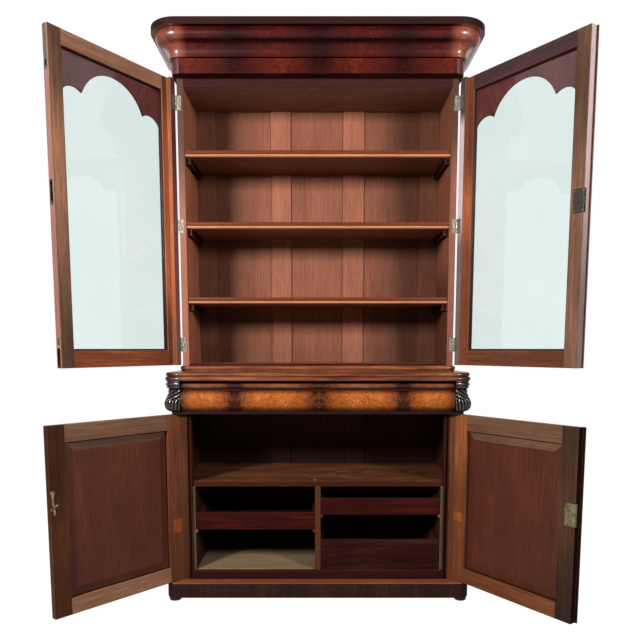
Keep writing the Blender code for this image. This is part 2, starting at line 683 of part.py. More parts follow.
def make_cornice():
    half_width = UPPER_HALF_W + FRIEZE_SIDE_OUT
    front = UPPER_FRONT_Y
    frieze_top = FRIEZE_Z + FRIEZE_H
    frieze = profile("frieze", [rounded_front(half_width, front, 0.0, CORNER_R)],
                     (FRIEZE_Z, frieze_top), "Z", FLAME)
    wall = CORNICE_WALL
    cut(frieze, board("frieze_hollow", (-half_width + wall, half_width - wall), (front + wall, -wall),
                      (FRIEZE_Z + BOARD_T, frieze_top + BOARD_T)))

    low = CORNICE_Z
    out = CORNICE_OUT
    section = [(-wall, low), (0.008, low)]
    section += arc((0.008, low + 0.0040), 0.0040, -90, 90, 4)
    section += bow((0.0085, low + 0.0095), (0.042, low + 0.052), 0.0105, 6)
    section += bow((0.058, low + 0.0945), (0.042, low + 0.052), 0.0134, 7)[::-1][1:]
    section += [(0.060, low + 0.096), (out - 0.002, low + 0.096), (out, low + 0.098), (out, low + CORNICE_H)]
    section += [(-wall, low + CORNICE_H)]
    swept("cornice", section, half_width, front, CORNER_R, MAHOGANY)
    lid_half = half_width - wall - SEAT_GAP
    lid_top = low + CORNICE_H - BOARD_T / 2
    lid = rounded_front(lid_half, front + wall + SEAT_GAP, 0.0, CORNER_R - wall, 5)
    dust_board = profile("cornice_dust_board", [lid], (lid_top - BOARD_T / 2, lid_top), "Z", PINE)
    rail_half = lid_half - MEETING_GAP
    fuse(dust_board, board("cornice_back_rail", (-rail_half, rail_half), (-BACK_T, -MEETING_GAP),
                           (low, lid_top - BOARD_T / 4)))


def leaf_plan(hole):
    """Plan of a hinge leaf and its knuckle, closed, with the plate over the stile."""
    spread = math.degrees(math.asin(LEAF_T / KNUCKLE_R))
    ring = arc((0.0, 0.0), KNUCKLE_R, spread, 360, 18)
    loops = [ring + [(LEAF_W, 0.0), (LEAF_W, LEAF_T)]]
    if hole:
        loops.append(arc((0.0, 0.0), HINGE_PIN_R + PIN_GAP, 0, 330, 11))
    return loops


def make_butt_hinge(side, number, middle_z, door):
    """Two leaves that share the knuckle: the fixed one below, with the pin, and the door's above."""
    low = middle_z - HINGE_L / 2
    high = middle_z + HINGE_L / 2
    label = f"{SIDES[side]}_hinge_{number}"
    clear = KNUCKLE_R + SEAT_GAP
    plate_gap = SEAT_GAP / 2

    def placed(loops, lean):
        return [[(-side * x, lean * (y + plate_gap) if x > KNUCKLE_R else lean * y) for x, y in loop]
                for loop in loops]

    for kind, lean, parent, z in (("case", 1, hinge_frame(side), (low, middle_z - SEAT_GAP / 2)),
                                  ("door", -1, door, (middle_z + SEAT_GAP / 2, high))):
        leaf = profile(f"{label}_{kind}_leaf", placed(leaf_plan(kind == "door"), lean), z, "Z", BRASS, parent)
        plate = board(f"{label}_{kind}_plate", (-side * clear, -side * LEAF_W),
                      (lean * plate_gap, lean * (plate_gap + LEAF_T)), (low, high), None, parent)
        fuse(leaf, plate)
        if kind == "case":
            pin_z = (low + HINGE_L / 8, high)
            fuse(leaf, rod(f"{label}_pin", (0.0, 0.0), HINGE_PIN_R, pin_z, None, parent, 12))


HINGE_FRAMES = {}


def hinge_frame(side):
    """The closed door's frame on the hinge axis, which stays with the case."""
    if side not in HINGE_FRAMES:
        HINGE_FRAMES[side] = empty(f"upper_{SIDES[side]}_hinge_line",
                                   (side * UPPER_PIVOT_X, UPPER_PIVOT_Y, 0.0), parent=ROOT)
    return HINGE_FRAMES[side]


def make_lock(label, side, z, inner_y, free_x, frame, door):
    """A cut lock let into the inner face at the free edge, with its sliding bolt."""
    toward = -side
    pocket_x = (toward * (free_x - LOCK_W), toward * (free_x + LOCK_W))
    pocket_z = (z - LOCK_H / 2, z + LOCK_H / 2)
    cut(frame, board(f"{label}_lock_pocket", pocket_x, (inner_y - LOCK_T, inner_y + LOCK_T), pocket_z,
                     None, door))
    case_x = (toward * (free_x - LOCK_W + SEAT_GAP), toward * free_x)
    case_z = (pocket_z[0] + SEAT_GAP, pocket_z[1] - SEAT_GAP)
    case = board(f"{label}_lock", case_x, (inner_y - LOCK_T + SEAT_GAP, inner_y), case_z, STEEL, door)
    bolt_y = inner_y - LOCK_PLATE_T - LOCK_BOLT_T
    channel_x = (toward * (free_x - LOCK_BOLT_L - 2 * SEAT_GAP), toward * (free_x + LOCK_W))
    cut(case, board(f"{label}_bolt_channel", channel_x, (bolt_y - SEAT_GAP, bolt_y + LOCK_BOLT_T + SEAT_GAP),
                    (z - LOCK_BOLT_H / 2 - SEAT_GAP, z + LOCK_BOLT_H / 2 + SEAT_GAP), None, door))
    slide = empty(f"{label}_lock_bolt_slide", (0.0, 0.0, 0.0), parent=door)
    board(f"{label}_lock_bolt", (toward * (free_x - LOCK_BOLT_L - SEAT_GAP), toward * (free_x - SEAT_GAP)),
          (bolt_y, bolt_y + LOCK_BOLT_T), (z - LOCK_BOLT_H / 2, z + LOCK_BOLT_H / 2), BRASS, slide)


def make_edge_bolts(side, front_y, free_x, frame, door):
    """Two bolts let into the free edge, one running up and one down."""
    toward = -side
    door_top = UPPER_DOOR_Z + UPPER_DOOR_H
    middle_y = front_y + UPPER_DOOR_T / 2
    for name, low, high in (("top_edge_bolt", door_top - EDGE_BOLT_L, door_top),
                            ("bottom_edge_bolt", UPPER_DOOR_Z, UPPER_DOOR_Z + EDGE_BOLT_L)):
        groove_z = (low - SEAT_GAP, high + EDGE_BOLT_L)
        if high < door_top:
            groove_z = (low - EDGE_BOLT_L, high + SEAT_GAP)
        groove_x = (toward * (free_x - EDGE_BOLT_T - SEAT_GAP), toward * (free_x + EDGE_BOLT_T))
        groove_y = (middle_y - EDGE_BOLT_W / 2 - SEAT_GAP, middle_y + EDGE_BOLT_W / 2 + SEAT_GAP)
        groove = board(f"{name}_groove", groove_x, groove_y, groove_z, None, door)
        cut(frame, groove)
        slide = empty(f"{name}_slide", (0.0, 0.0, 0.0), parent=door)
        board(name, (toward * (free_x - EDGE_BOLT_T), toward * (free_x - SEAT_GAP)),
              (middle_y - EDGE_BOLT_W / 2, middle_y + EDGE_BOLT_W / 2), (low, high), BRASS, slide)


def cover_strip(free_x, front_y):
    """Plan points of a meeting edge with the strip that covers the joint."""
    face = front_y - COVER_STRIP_T
    root = free_x + COVER_STRIP_LAP - COVER_STRIP_W
    tip = free_x + COVER_STRIP_LAP
    lap_y = front_y - SEAT_GAP - MEETING_GAP / 2
    return [(root, front_y), (root, face), (tip, face), (tip, lap_y), (free_x, lap_y)]


def spandrel_outline(low_x, high_x, top_z):
    """Panel over the glass whose lower edge is a cusped arch of three lobes."""
    middle = (low_x + high_x) / 2
    spring = top_z - ARCH_SPRING_DROP
    cusp_z = top_z - ARCH_CUSP_DROP
    left_cusp = (middle - ARCH_CUSP_OUT, cusp_z)
    right_cusp = (middle + ARCH_CUSP_OUT, cusp_z)
    lobes = bow((low_x, spring), left_cusp, SIDE_LOBE_RISE, 6)
    lobes += bow(left_cusp, right_cusp, ARCH_CUSP_DROP - ARCH_CROWN_DROP, 14)[1:]
    lobes += bow(right_cusp, (high_x, spring), SIDE_LOBE_RISE, 6)[1:]
    return lobes + [(high_x, top_z), (low_x, top_z)]


def make_upper_door(side, open_angle):
    name = f"upper_{SIDES[side]}_door"
    door = empty(f"{name}_hinge", (side * UPPER_PIVOT_X, UPPER_PIVOT_Y, 0.0), side * open_angle, ROOT)
    front_y = UPPER_FRONT_Y - UPPER_PIVOT_Y
    stile_back = -HINGE_GAP / 2
    inner_y = front_y + UPPER_DOOR_T
    edge_x = KNUCKLE_R
    free_x = UPPER_DOOR_W
    step_x = edge_x + UPPER_SIDE_T
    corner = arc((edge_x + UPPER_STILE_ROUND, front_y + UPPER_STILE_ROUND), UPPER_STILE_ROUND, 270, 180, 8)
    meeting = cover_strip(free_x, front_y)[::-1] if side == RIGHT else [(free_x, front_y)]
    outline = [(free_x, inner_y)] + meeting + corner
    outline += [(edge_x, stile_back), (step_x, stile_back), (step_x, inner_y)]
    low, high = UPPER_DOOR_Z, UPPER_DOOR_Z + UPPER_DOOR_H
    frame = profile(f"{name}_frame", [mirrored(outline, -side)], (low, high), "Z", MAHOGANY, door)

    open_x = (edge_x + UPPER_HANG_STILE_W, free_x - UPPER_MEET_STILE_W)
    open_z = (low + UPPER_BOTTOM_RAIL_W, high - UPPER_TOP_RAIL_W)
    cut(frame, board(f"{name}_opening", (-side * open_x[0], -side * open_x[1]),
                     (front_y - UPPER_DOOR_T, inner_y + UPPER_DOOR_T), open_z, None, door))
    pane_x = (open_x[0] + SEAT_GAP, open_x[1] - SEAT_GAP)
    pane_z = (open_z[0] + SEAT_GAP, open_z[1] - SEAT_GAP)
    glass_y = front_y + GLASS_SET_BACK
    board(f"{name}_glass", (-side * pane_x[0], -side * pane_x[1]), (glass_y, glass_y + GLASS_T), pane_z,
          GLASS, door)
    arch = spandrel_outline(*pane_x, pane_z[1])
    spandrel_back = glass_y - SEAT_GAP
    profile(f"{name}_spandrel", [mirrored(arch, -side)], (spandrel_back - SPANDREL_T, spandrel_back), "Y",
            CARVED, door)
    for number, z in enumerate(HINGE_HEIGHTS, 1):
        make_butt_hinge(side, number, z, door)
    if side == RIGHT:
        make_lock("upper", side, UPPER_LOCK_Z, inner_y, free_x, frame, door)
    else:
        make_edge_bolts(side, front_y, free_x, frame, door)


def make_catch(side, free_x, door):
    """Elbow catch: a plate on the inner face and a sprung lever that pivots on it."""
    toward = -side
    plate_x = (toward * (free_x - CATCH_EDGE), toward * (free_x - CATCH_EDGE - CATCH_PLATE_W))
    plate_y = (SEAT_GAP, SEAT_GAP + CATCH_PLATE_T)
    plate_z = (CATCH_Z - CATCH_PLATE_H / 3, CATCH_Z + CATCH_PLATE_H * 2 / 3)
    board("elbow_catch_plate", plate_x, plate_y, plate_z, BRASS, door)
    middle_x = free_x - CATCH_EDGE - CATCH_PLATE_W / 2
    pin_y = plate_y[1] + SEAT_GAP + CATCH_PIN_R
    pivot = empty("elbow_catch_pivot", (toward * middle_x, pin_y, CATCH_Z), parent=door)
    half = CATCH_LEVER_T / 2
    tip = CATCH_REACH
    drop = CATCH_LEVER_DROP
    eye = arc((0.0, 0.0), CATCH_PIN_R, 150, 330, 6)
    lever = eye + [(half, -drop), (half + CATCH_LEVER_T, -drop), (CATCH_PIN_R, -half), (tip, -half)]
    lever += [(tip, 2 * CATCH_LEVER_T), (tip - CATCH_LEVER_T, 2 * CATCH_LEVER_T), (tip - CATCH_LEVER_T, half)]
    lever += [(CATCH_PIN_R, half)]
    profile("elbow_catch_lever", [lever], (-CATCH_LEVER_W / 2, CATCH_LEVER_W / 2), "X", BRASS, pivot)


def make_lower_door(side, open_angle):
    name = f"lower_{SIDES[side]}_door"
    door = empty(f"{name}_hinge", (side * LOWER_PIVOT_X, LOWER_PIVOT_Y, 0.0), side * open_angle, ROOT)
    front_y = -LOWER_DOOR_T
    free_x = LOWER_DOOR_W
    rounded = arc((0.0, 0.0), LOWER_DOOR_T, 270, 180 - STILE_BACK_ROUND, 12)
    meeting = cover_strip(free_x, front_y)[::-1] if side == RIGHT else [(free_x, front_y)]
    outline = [(free_x, 0.0)] + meeting + rounded + [(0.0, 0.0)]
    low, high = LOWER_DOOR_Z, LOWER_DOOR_Z + LOWER_DOOR_H
    frame = profile(f"{name}_frame", [mirrored(outline, -side)], (low, high), "Z", MAHOGANY, door)
    open_x = (LOWER_HANG_STILE_W - LOWER_DOOR_T, free_x - LOWER_MEET_STILE_W)
    open_z = (low + LOWER_BOTTOM_RAIL_W, high - LOWER_TOP_RAIL_W)
    cut(frame, board(f"{name}_opening", (-side * open_x[0], -side * open_x[1]),
                     (front_y - LOWER_DOOR_T, LOWER_DOOR_T), open_z, None, door))
    for end, middle in (("top", high), ("bottom", low)):
        pin_z = (middle - LOWER_PIN_L, middle + LOWER_PIN_L)
        fuse(frame, rod(f"{name}_{end}_pin", (0.0, 0.0), LOWER_PIN_R, pin_z, None, door))
    panel_x = (open_x[0] + SEAT_GAP, open_x[1] - SEAT_GAP)
    panel_z = (open_z[0] + SEAT_GAP, open_z[1] - SEAT_GAP)
    panel_y = front_y / 2
    board(f"{name}_panel", (-side * panel_x[0], -side * panel_x[1]),
          (panel_y - LOWER_PANEL_T / 2, panel_y + LOWER_PANEL_T / 2), panel_z, MAHOGANY, door)
    if side == RIGHT:
        make_lock("lower", side, LOWER_LOCK_Z, 0.0, free_x, frame, door)
    else:
        make_catch(side, free_x, door)


make_plinth()
make_lower_sides()
make_cupboard_inside()
make_trays()
make_head_rail()
make_corbels()
make_frieze_drawer()
make_waist_top()
make_upper_case()
make_cornice()
make_upper_door(LEFT, UPPER_OPEN_LEFT)
make_upper_door(RIGHT, UPPER_OPEN_RIGHT)
make_lower_door(LEFT, LOWER_OPEN_LEFT)
make_lower_door(RIGHT, LOWER_OPEN_RIGHT)
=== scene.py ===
"""Bookcase on cupboard: glazed mahogany bookcase with a cornice, standing on a cupboard with a frieze drawer.

Laid out as an add-on and run as a script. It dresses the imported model: metres, +Z up, the front faces -Y.
"""

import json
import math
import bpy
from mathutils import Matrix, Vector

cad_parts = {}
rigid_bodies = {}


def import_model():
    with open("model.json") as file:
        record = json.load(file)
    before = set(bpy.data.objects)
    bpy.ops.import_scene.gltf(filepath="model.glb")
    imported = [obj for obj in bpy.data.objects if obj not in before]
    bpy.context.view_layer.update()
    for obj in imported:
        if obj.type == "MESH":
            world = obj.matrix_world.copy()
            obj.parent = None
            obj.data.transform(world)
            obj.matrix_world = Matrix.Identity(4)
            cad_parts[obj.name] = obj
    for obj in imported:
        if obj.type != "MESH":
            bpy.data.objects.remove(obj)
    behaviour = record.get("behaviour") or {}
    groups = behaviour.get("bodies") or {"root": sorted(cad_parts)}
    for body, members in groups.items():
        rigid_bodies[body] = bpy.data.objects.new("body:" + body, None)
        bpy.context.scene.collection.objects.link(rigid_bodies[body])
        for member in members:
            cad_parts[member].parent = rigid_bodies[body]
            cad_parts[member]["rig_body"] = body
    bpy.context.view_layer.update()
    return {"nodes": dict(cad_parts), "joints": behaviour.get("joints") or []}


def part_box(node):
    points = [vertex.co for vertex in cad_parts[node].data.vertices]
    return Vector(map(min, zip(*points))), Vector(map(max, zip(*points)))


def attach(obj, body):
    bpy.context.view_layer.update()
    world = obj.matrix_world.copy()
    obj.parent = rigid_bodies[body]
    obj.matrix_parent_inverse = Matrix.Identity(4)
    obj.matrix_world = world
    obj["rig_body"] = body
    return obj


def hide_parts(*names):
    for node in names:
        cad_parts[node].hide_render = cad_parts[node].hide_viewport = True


bl_info = {
    "name": "Bookcase on cupboard",
    "version": (1, 0, 0),
    "blender": (4, 5, 0),
    "location": "3D View > Sidebar > Bookcase",
    "description": "Dresses the packed bookcase on cupboard with mouldings, carving, fittings and finishes",
    "category": "Add Mesh",
}

import bmesh
import bpy
from bpy.props import FloatProperty, FloatVectorProperty, PointerProperty
from bpy.types import Operator, Panel, PropertyGroup
from mathutils import Matrix, Vector

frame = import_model()

LEFT, RIGHT = -1, 1
SIDE_NAMES = {LEFT: "left", RIGHT: "right"}
SEAT = 0.0003  # Clearance where a piece sits in another


def linear(hex_colour):
    """An sRGB hex colour as linear red, green and blue."""
    values = [int(hex_colour[start:start + 2], 16) / 255 for start in (0, 2, 4)]
    return tuple(v / 12.92 if v <= 0.04045 else ((v + 0.055) / 1.055) ** 2.4 for v in values)


# ---------------------------------------------------------------- values a user would change

def shade(label, hex_colour):
    return FloatVectorProperty(name=label, description=f"{label} shade of the finish", subtype='COLOR',
                               size=3, min=0.0, max=1.0, default=linear(hex_colour))


def length(label, says, metres):
    return FloatProperty(name=label, description=says, unit='LENGTH', default=metres, min=0.0, precision=4)


class BOOKCASE_PG_sizes(PropertyGroup):
    corner_radius: length("Corner radius", "Plan radius of the cornice, waist and plinth corners", 0.040)
    edge_wear: length("Edge wear", "Width of the rubbed edge on boards and frames", 0.0012)
    shelf_bead: length("Shelf bead", "Radius of the bead on the shelf fronts", 0.0048)
    bead_width: length("Glazing bead", "Width of the bead that holds the glass", 0.006)
    panel_border: length("Panel border", "Width of the sloping border of the lower door panels", 0.034)
    foot_radius: length("Foot radius", "Radius of the low feet under the plinth", 0.026)
    foot_set_in: length("Foot set in", "Distance of a foot's middle from the outer faces of the plinth",
                        0.032)
    foot_height: length("Foot height", "Height of the feet under the plinth", 0.017)
    flute_depth: length("Flute depth", "Depth of the carving on the corbels", 0.0062)
    screw_radius: length("Screw radius", "Radius of the screw heads", 0.0024)


# Shades of the woods and the metals
WOOD_PARTS = ("deep", "body", "light")
WOODS = {
    "polished": ("Polished mahogany", "260C08", "56220F", "7E3C1C"),
    "cornice": ("Cornice veneer", "100203", "380A06", "701E08"),
    # Cornice corners: salmon, a painted highlight where the rounded corners catch the lamps
    "corner": ("Cornice corners", "4A1C14", "7C402E", "A0644E"),
    # Carved ridges: grey, a painted highlight on the raised carving
    "ridge": ("Carved ridges", "140F0E", "2C2423", "524846"),
    "fascia": ("Cornice fascia", "1B0A09", "2A1413", "3A1D17"),
    "frieze": ("Frieze veneer", "120404", "3F110B", "74270D"),
    "waist": ("Waist veneer", "260D08", "6D3924", "8B5832"),
    "flame": ("Drawer veneer", "2A0E06", "8A461C", "C27C34"),
    "band": ("Drawer band", "240E08", "643820", "8C5A34"),
    "back": ("Back boards", "572E1D", "774835", "8C5944"),
    "ceiling": ("Ceiling board", "623F34", "895E4E", "A67864"),
    "inside": ("Inside boards", "643628", "935740", "AF6F51"),
    "shelf": ("Shelf edges", "3E1608", "5E270F", "7A391A"),
    "divider": ("Divider edge", "311809", "472510", "56311A"),
    "upper": ("Upper door frames", "3C1C12", "783D23", "B0683A"),
    # Stile backs: dark purple-brown, painted shade on faces turned from the light
    "back_edge": ("Stile backs", "34181A", "4E2826", "663632"),
    "salmon": ("Meeting edge", "603934", "815850", "916D66"),
    # Lit meeting edge: pinkish white, a painted highlight on rounded edges
    "blush": ("Lit meeting edge", "8A7072", "A58F90", "B8A3A4"),
    "arch": ("Arch panels", "491F20", "753431", "99473E"),
    "lower": ("Lower door frames", "361A0E", "63351E", "9A5C34"),
    "meeting": ("Upper meeting stiles", "2E1812", "603523", "8E5C3A"),
    "smoky": ("Smoky top rail", "2E2022", "493233", "664A48"),
    "rail": ("Lower door top rails", "38241C", "664634", "966A4C"),
    "panel": ("Door panels", "391811", "4A2317", "7A4228"),
    "worn": ("Worn inner shelf", "32180E", "522D1A", "744929"),
    "tray": ("Trays", "1A0403", "2B0906", "4A1410"),
    "drawer": ("Deep drawer", "170605", "260D0A", "351A14"),
    "plinth": ("Plinth", "130906", "24100A", "371D13"),
    "carved": ("Carving", "120605", "240D0A", "3C1A14"),
    "edge": ("Rubbed edges", "7F4B31", "A6714D", "C2906A"),
    "pine": ("Pine", "856B4A", "AD916B", "C4AB86"),
}
METAL_PARTS = ("bright", "dull")
METALS = {
    "brass": ("Brass", "9A8E6C", "5E5844"),
    "leaf": ("Hinge leaves", "3A2C24", "201612"),
    "plate": ("Edge plates", "8E857C", "5C544E"),
    "catch": ("Elbow catch", "C8B080", "5E5038"),
    "steel": ("Lock iron", "54514B", "3A3834"),
}


class BOOKCASE_PG_finishes(PropertyGroup):
    glass_tint: shade("Glass tint", "E6F3F1")
    floor: shade("Studio floor", "FFFFFF")


for table, parts in ((WOODS, WOOD_PARTS), (METALS, METAL_PARTS)):
    for kind, (label, *colours) in table.items():
        for part, colour in zip(parts, colours):
            BOOKCASE_PG_finishes.__annotations__[f"{kind}_{part}"] = shade(f"{label}, {part}", colour)


# ---------------------------------------------------------------- modelling with operators

def start_clean():
    if bpy.context.object and bpy.context.object.mode != 'OBJECT':
        bpy.ops.object.mode_set(mode='OBJECT')
    bpy.ops.object.select_all(action='DESELECT')


def take(piece):
    """Selects one piece alone and makes it active."""
    start_clean()
    piece.select_set(True)
    bpy.context.view_layer.objects.active = piece
    return piece


def name_new(name):
    """Names the object that an operator has just added and puts its place into its mesh."""
    piece = bpy.context.object
    piece.name = piece.data.name = name
    bpy.ops.object.transform_apply(location=True, rotation=True, scale=True)
    return piece


def block(name, low, high):
    """A cube stretched between two corners."""
    start_clean()
    low, high = Vector(map(min, low, high)), Vector(map(max, low, high))
    bpy.ops.mesh.primitive_cube_add(size=1.0, location=(low + high) / 2, scale=high - low)
    return name_new(name)


def round_bar(name, centre, radius, depth, axis='Z', sides=32):
    start_clean()
    bpy.ops.mesh.primitive_cylinder_add(vertices=sides, radius=radius, depth=depth, location=centre,
                                        rotation=(math.pi / 2 if axis == 'Y' else 0.0, 0.0, 0.0))
    return name_new(name)


def edit(piece, chosen=lambda element: True, kind='FACE'):
    """Opens a piece in edit mode with the chosen faces or edges selected."""
    take(piece)
    bpy.ops.object.mode_set(mode='EDIT')
    bpy.ops.mesh.select_mode(type=kind)
    bpy.ops.mesh.select_all(action='DESELECT')
    bm = bmesh.from_edit_mesh(piece.data)
    for element in list(bm.faces if kind == 'FACE' else bm.edges):
        if chosen(element):
            element.select_set(True)
    bmesh.update_edit_mesh(piece.data)


def close(piece):
    """Merges doubled points, turns the faces outward and leaves edit mode."""
    edit(piece)
    bpy.ops.mesh.remove_doubles(threshold=0.00001)
    bpy.ops.mesh.normals_make_consistent(inside=False)
    bpy.ops.object.mode_set(mode='OBJECT')
    return piece


def bevel(piece, chosen, offset, segments):
    """Rounds the chosen edges alone."""
    edit(piece, chosen, 'EDGE')
    bpy.ops.mesh.bevel(offset=offset, segments=segments, affect='EDGES')
    bpy.ops.object.mode_set(mode='OBJECT')
    return piece


PLANES = {
    'X': lambda u, v, w: (w, u, v),
    'Y': lambda u, v, w: (u, w, v),
    'Z': lambda u, v, w: (u, v, w),
}


def sawn(name, outline, span, axis):
    """A flat outline cut out of a board: (y, z) for X, (x, z) for Y and (x, y) for Z."""
    start_clean()
    bpy.ops.mesh.primitive_circle_add(vertices=len(outline), fill_type='NGON')
    piece = name_new(name)
    place = PLANES[axis]
    for vertex, (u, v) in zip(piece.data.vertices, outline):
        vertex.co = place(u, v, span[0])
    edit(piece)
    bpy.ops.mesh.extrude_region_move(TRANSFORM_OT_translate={"value": place(0.0, 0.0, span[1] - span[0])})
    return close(piece)


def run_moulding(name, section, half_width, front, back, radius, steps=20):
    """A section of (out, z) run along the left side, the front and the right side, round both corners."""
    start_clean()
    bpy.ops.mesh.primitive_circle_add(vertices=len(section), fill_type='NGON')
    piece = name_new(name)
    for vertex, (out, z) in zip(piece.data.vertices, section):
        vertex.co = (-(half_width + out), back, z)
    turn_x, turn_y = half_width - radius, front + radius
    edit(piece)
    for shift, centre in (((0.0, turn_y - back, 0.0), (-turn_x, turn_y, 0.0)),
                          ((2 * turn_x, 0.0, 0.0), (turn_x, turn_y, 0.0)),
                          ((0.0, back - turn_y, 0.0), None)):
        bpy.ops.mesh.extrude_region_move(TRANSFORM_OT_translate={"value": shift})
        if centre:
            bpy.ops.mesh.spin(steps=steps, angle=-math.pi / 2, center=centre, axis=(0.0, 0.0, 1.0))
    return close(piece)


def arc(centre, radius, start, stop, steps):
    points = []
    for step in range(steps + 1):
        angle = math.radians(start + (stop - start) * step / steps)
        points.append((centre[0] + radius * math.cos(angle), centre[1] + radius * math.sin(angle)))
    return points


def bow(first, last, rise, steps):
    """Points on the arc that joins two points and bulges to the left of the way between them."""
    a, b = Vector(first), Vector(last)
    half = (b - a).length / 2
    radius = (half * half + rise * rise) / (2 * rise)
    left = Vector((-(b - a).y, (b - a).x)).normalized()
    centre = (a + b) / 2 + left * (rise - radius)
    start = math.degrees(math.atan2(a.y - centre.y, a.x - centre.x))
    stop = math.degrees(math.atan2(b.y - centre.y, b.x - centre.x))
    if stop > start:
        stop -= 360
    return arc(centre, radius, start, stop, steps)


def rounded_front(half_width, front, back, radius, steps=20):
    turn_x, turn_y = half_width - radius, front + radius
    left = arc((-turn_x, turn_y), radius, 180, 270, steps)
    right = arc((turn_x, turn_y), radius, 270, 360, steps)
    return [(-half_width, back)] + left + right + [(half_width, back)]


def modify(piece, kind, **settings):
    """Adds a modifier with its settings and applies it."""
    take(piece)
    modifier = piece.modifiers.new(kind.lower(), kind)
    for key, value in settings.items():
        setattr(modifier, key, value)
    bpy.ops.object.modifier_apply(modifier=modifier.name)
    return piece


def soften(piece, width, segments=2, angle=30.0, finish=-1):
    """Rounds the edges; the rounded strips can take a finish of their own."""
    return modify(piece, 'BEVEL', width=width, segments=segments, limit_method='ANGLE',
                  angle_limit=math.radians(angle), material=finish)


def join(name, *pieces):
    start_clean()
    for piece in pieces:
        piece.select_set(True)
    bpy.context.view_layer.objects.active = pieces[0]
    if len(pieces) > 1:
        bpy.ops.object.join()
    joined = bpy.context.object
    joined.name = joined.data.name = name
    return joined


def copy_of(piece, matrix):
    """A copy with its own mesh, moved by a matrix."""
    take(piece)
    bpy.ops.object.duplicate()
    twin = bpy.context.object
    twin.matrix_world = matrix @ twin.matrix_world
    bpy.ops.object.transform_apply(location=True, rotation=True, scale=True)
    return twin


def drop(*pieces):
    for piece in pieces:
        bpy.data.meshes.remove(piece.data)


def cut(piece, name, low, high):
    """Takes a block out of a piece."""
    tool = block(name, low, high)
    modify(piece, 'BOOLEAN', object=tool, operation='DIFFERENCE')
    drop(tool)
    return piece


def give(piece, *finishes, by=None):
    """Gives a piece its finishes; by tells the finish of a face from its middle and its normal."""
    for number, finish in enumerate(finishes):
        if number < len(piece.data.materials):
            piece.data.materials[number] = finish
        else:
            piece.data.materials.append(finish)
    if by:
        for face in piece.data.polygons:
            face.material_index = by(face.center, face.normal)
    return piece


def front_second(middle, normal):
    """The second finish for faces that look to the front, the first for the others."""
    return 1 if normal.y < -0.5 else 0


def settle(piece, body, slot, *nodes, angle=35.0):
    """Smooths a finished piece, lets it ride on its body and stand for its nodes."""
    take(piece)
    bpy.ops.object.shade_smooth_by_angle(angle=math.radians(angle))
    modify(piece, 'WEIGHTED_NORMAL', keep_sharp=True)
    start_clean()
    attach(piece, body)
    if nodes:
        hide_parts(*nodes)
    return piece


def from_frame(node):
    """A merged copy of a CAD node, to be worked on, with its body and slot."""
    source = frame["nodes"][node]
    take(source)
    bpy.ops.object.duplicate()
    piece = bpy.context.object
    body, slot = source["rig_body"], source.data.materials[0].name.split(".")[0]
    for key in list(piece.keys()):
        del piece[key]
    piece.parent = None
    piece.matrix_world = Matrix.Identity(4)
    piece.name = piece.data.name = f"{node}_worn"
    take(piece)
    bpy.ops.mesh.customdata_custom_splitnormals_clear()
    edit(piece)
    bpy.ops.mesh.remove_doubles(threshold=0.00001)
    bpy.ops.mesh.dissolve_limited(angle_limit=math.radians(0.5))
    bpy.ops.object.mode_set(mode='OBJECT')
    return piece, body, slot


def worn(node, finishes, width, by=None, planes=()):
    """A CAD node with rubbed edges in the last finish. Planes part the faces that take two finishes."""
    piece, body, slot = from_frame(node)
    for point, normal in planes:
        edit(piece)
        bpy.ops.mesh.bisect(plane_co=point, plane_no=normal)
        bpy.ops.object.mode_set(mode='OBJECT')
    give(piece, *finishes, by=by)
    soften(piece, width, finish=len(finishes) - 1)
    return settle(piece, body, slot, node)


# ---------------------------------------------------------------- places taken from the frame

def joint(name):
    return next(entry for entry in frame["joints"] if entry["name"] == name)


class Door:
    """Where a door hangs. Its pieces are made closed, on the pivot, and then hung."""

    def __init__(self, level, side):
        self.side = side
        self.name = f"{level}_{SIDE_NAMES[side]}_door"
        hinge = joint(f"{self.name}_hinge")
        self.turn = side * math.radians(-hinge["range_deg"][0])
        pivot = Vector((hinge["pos_m"][0], hinge["pos_m"][1], 0.0))
        self.matrix = Matrix.Translation(pivot) @ Matrix.Rotation(self.turn, 4, 'Z')
        self.inverse = self.matrix.inverted()

    def x(self, reach):
        """The closed door's x at a reach from the pivot towards the meeting edge."""
        return -self.side * reach

    def hang(self, piece):
        take(piece)
        piece.matrix_world = self.matrix
        bpy.ops.object.transform_apply(location=True, rotation=True, scale=True)
        if self.side == RIGHT:
            close(piece)
        return piece

    def plane(self, reach):
        point = self.matrix @ Vector((self.x(reach), 0.0, 0.0))
        return point, self.matrix.to_3x3() @ Vector((1.0, 0.0, 0.0))

    def local(self, point):
        """Reach, depth and height of a world point on the closed door."""
        place = self.inverse @ Vector(point)
        return Vector((-self.side * place.x, place.y, place.z))

    def span(self, node):
        """Least and greatest reach, depth and height of a CAD node on the closed door."""
        source = frame["nodes"][node]
        points = [self.local(source.matrix_world @ vertex.co) for vertex in source.data.vertices]
        return Vector(map(min, *points)), Vector(map(max, *points))


UPPER = {side: Door("upper", side) for side in (LEFT, RIGHT)}
LOWER = {side: Door("lower", side) for side in (LEFT, RIGHT)}


# ---------------------------------------------------------------- finishes

FINISHES = {}


def add(tree, kind, inputs, **settings):
    """Adds a shader node with its settings; an input takes a value, a node's first output or an output."""
    node = tree.nodes.new(f"ShaderNode{kind}")
    for key, value in settings.items():
        setattr(node, key, value)
    for key, value in inputs.items():
        if isinstance(value, bpy.types.Node):
            value = value.outputs[0]
        if isinstance(value, bpy.types.NodeSocket):
            tree.links.new(value, node.inputs[key])
        else:
            node.inputs[key].default_value = value
    return node


def set_ramp(node, stops):
    ramp = node.color_ramp
    while len(ramp.elements) < len(stops):
        ramp.elements.new(0.5)
    for element, (position, colour) in zip(ramp.elements, stops):
        element.position = position
        element.color = (*colour[:3], 1.0)
    return node


def empty_tree(holder):
    """The emptied node tree of a material or a world."""
    holder.use_nodes = True
    holder.node_tree.nodes.clear()
    return holder.node_tree


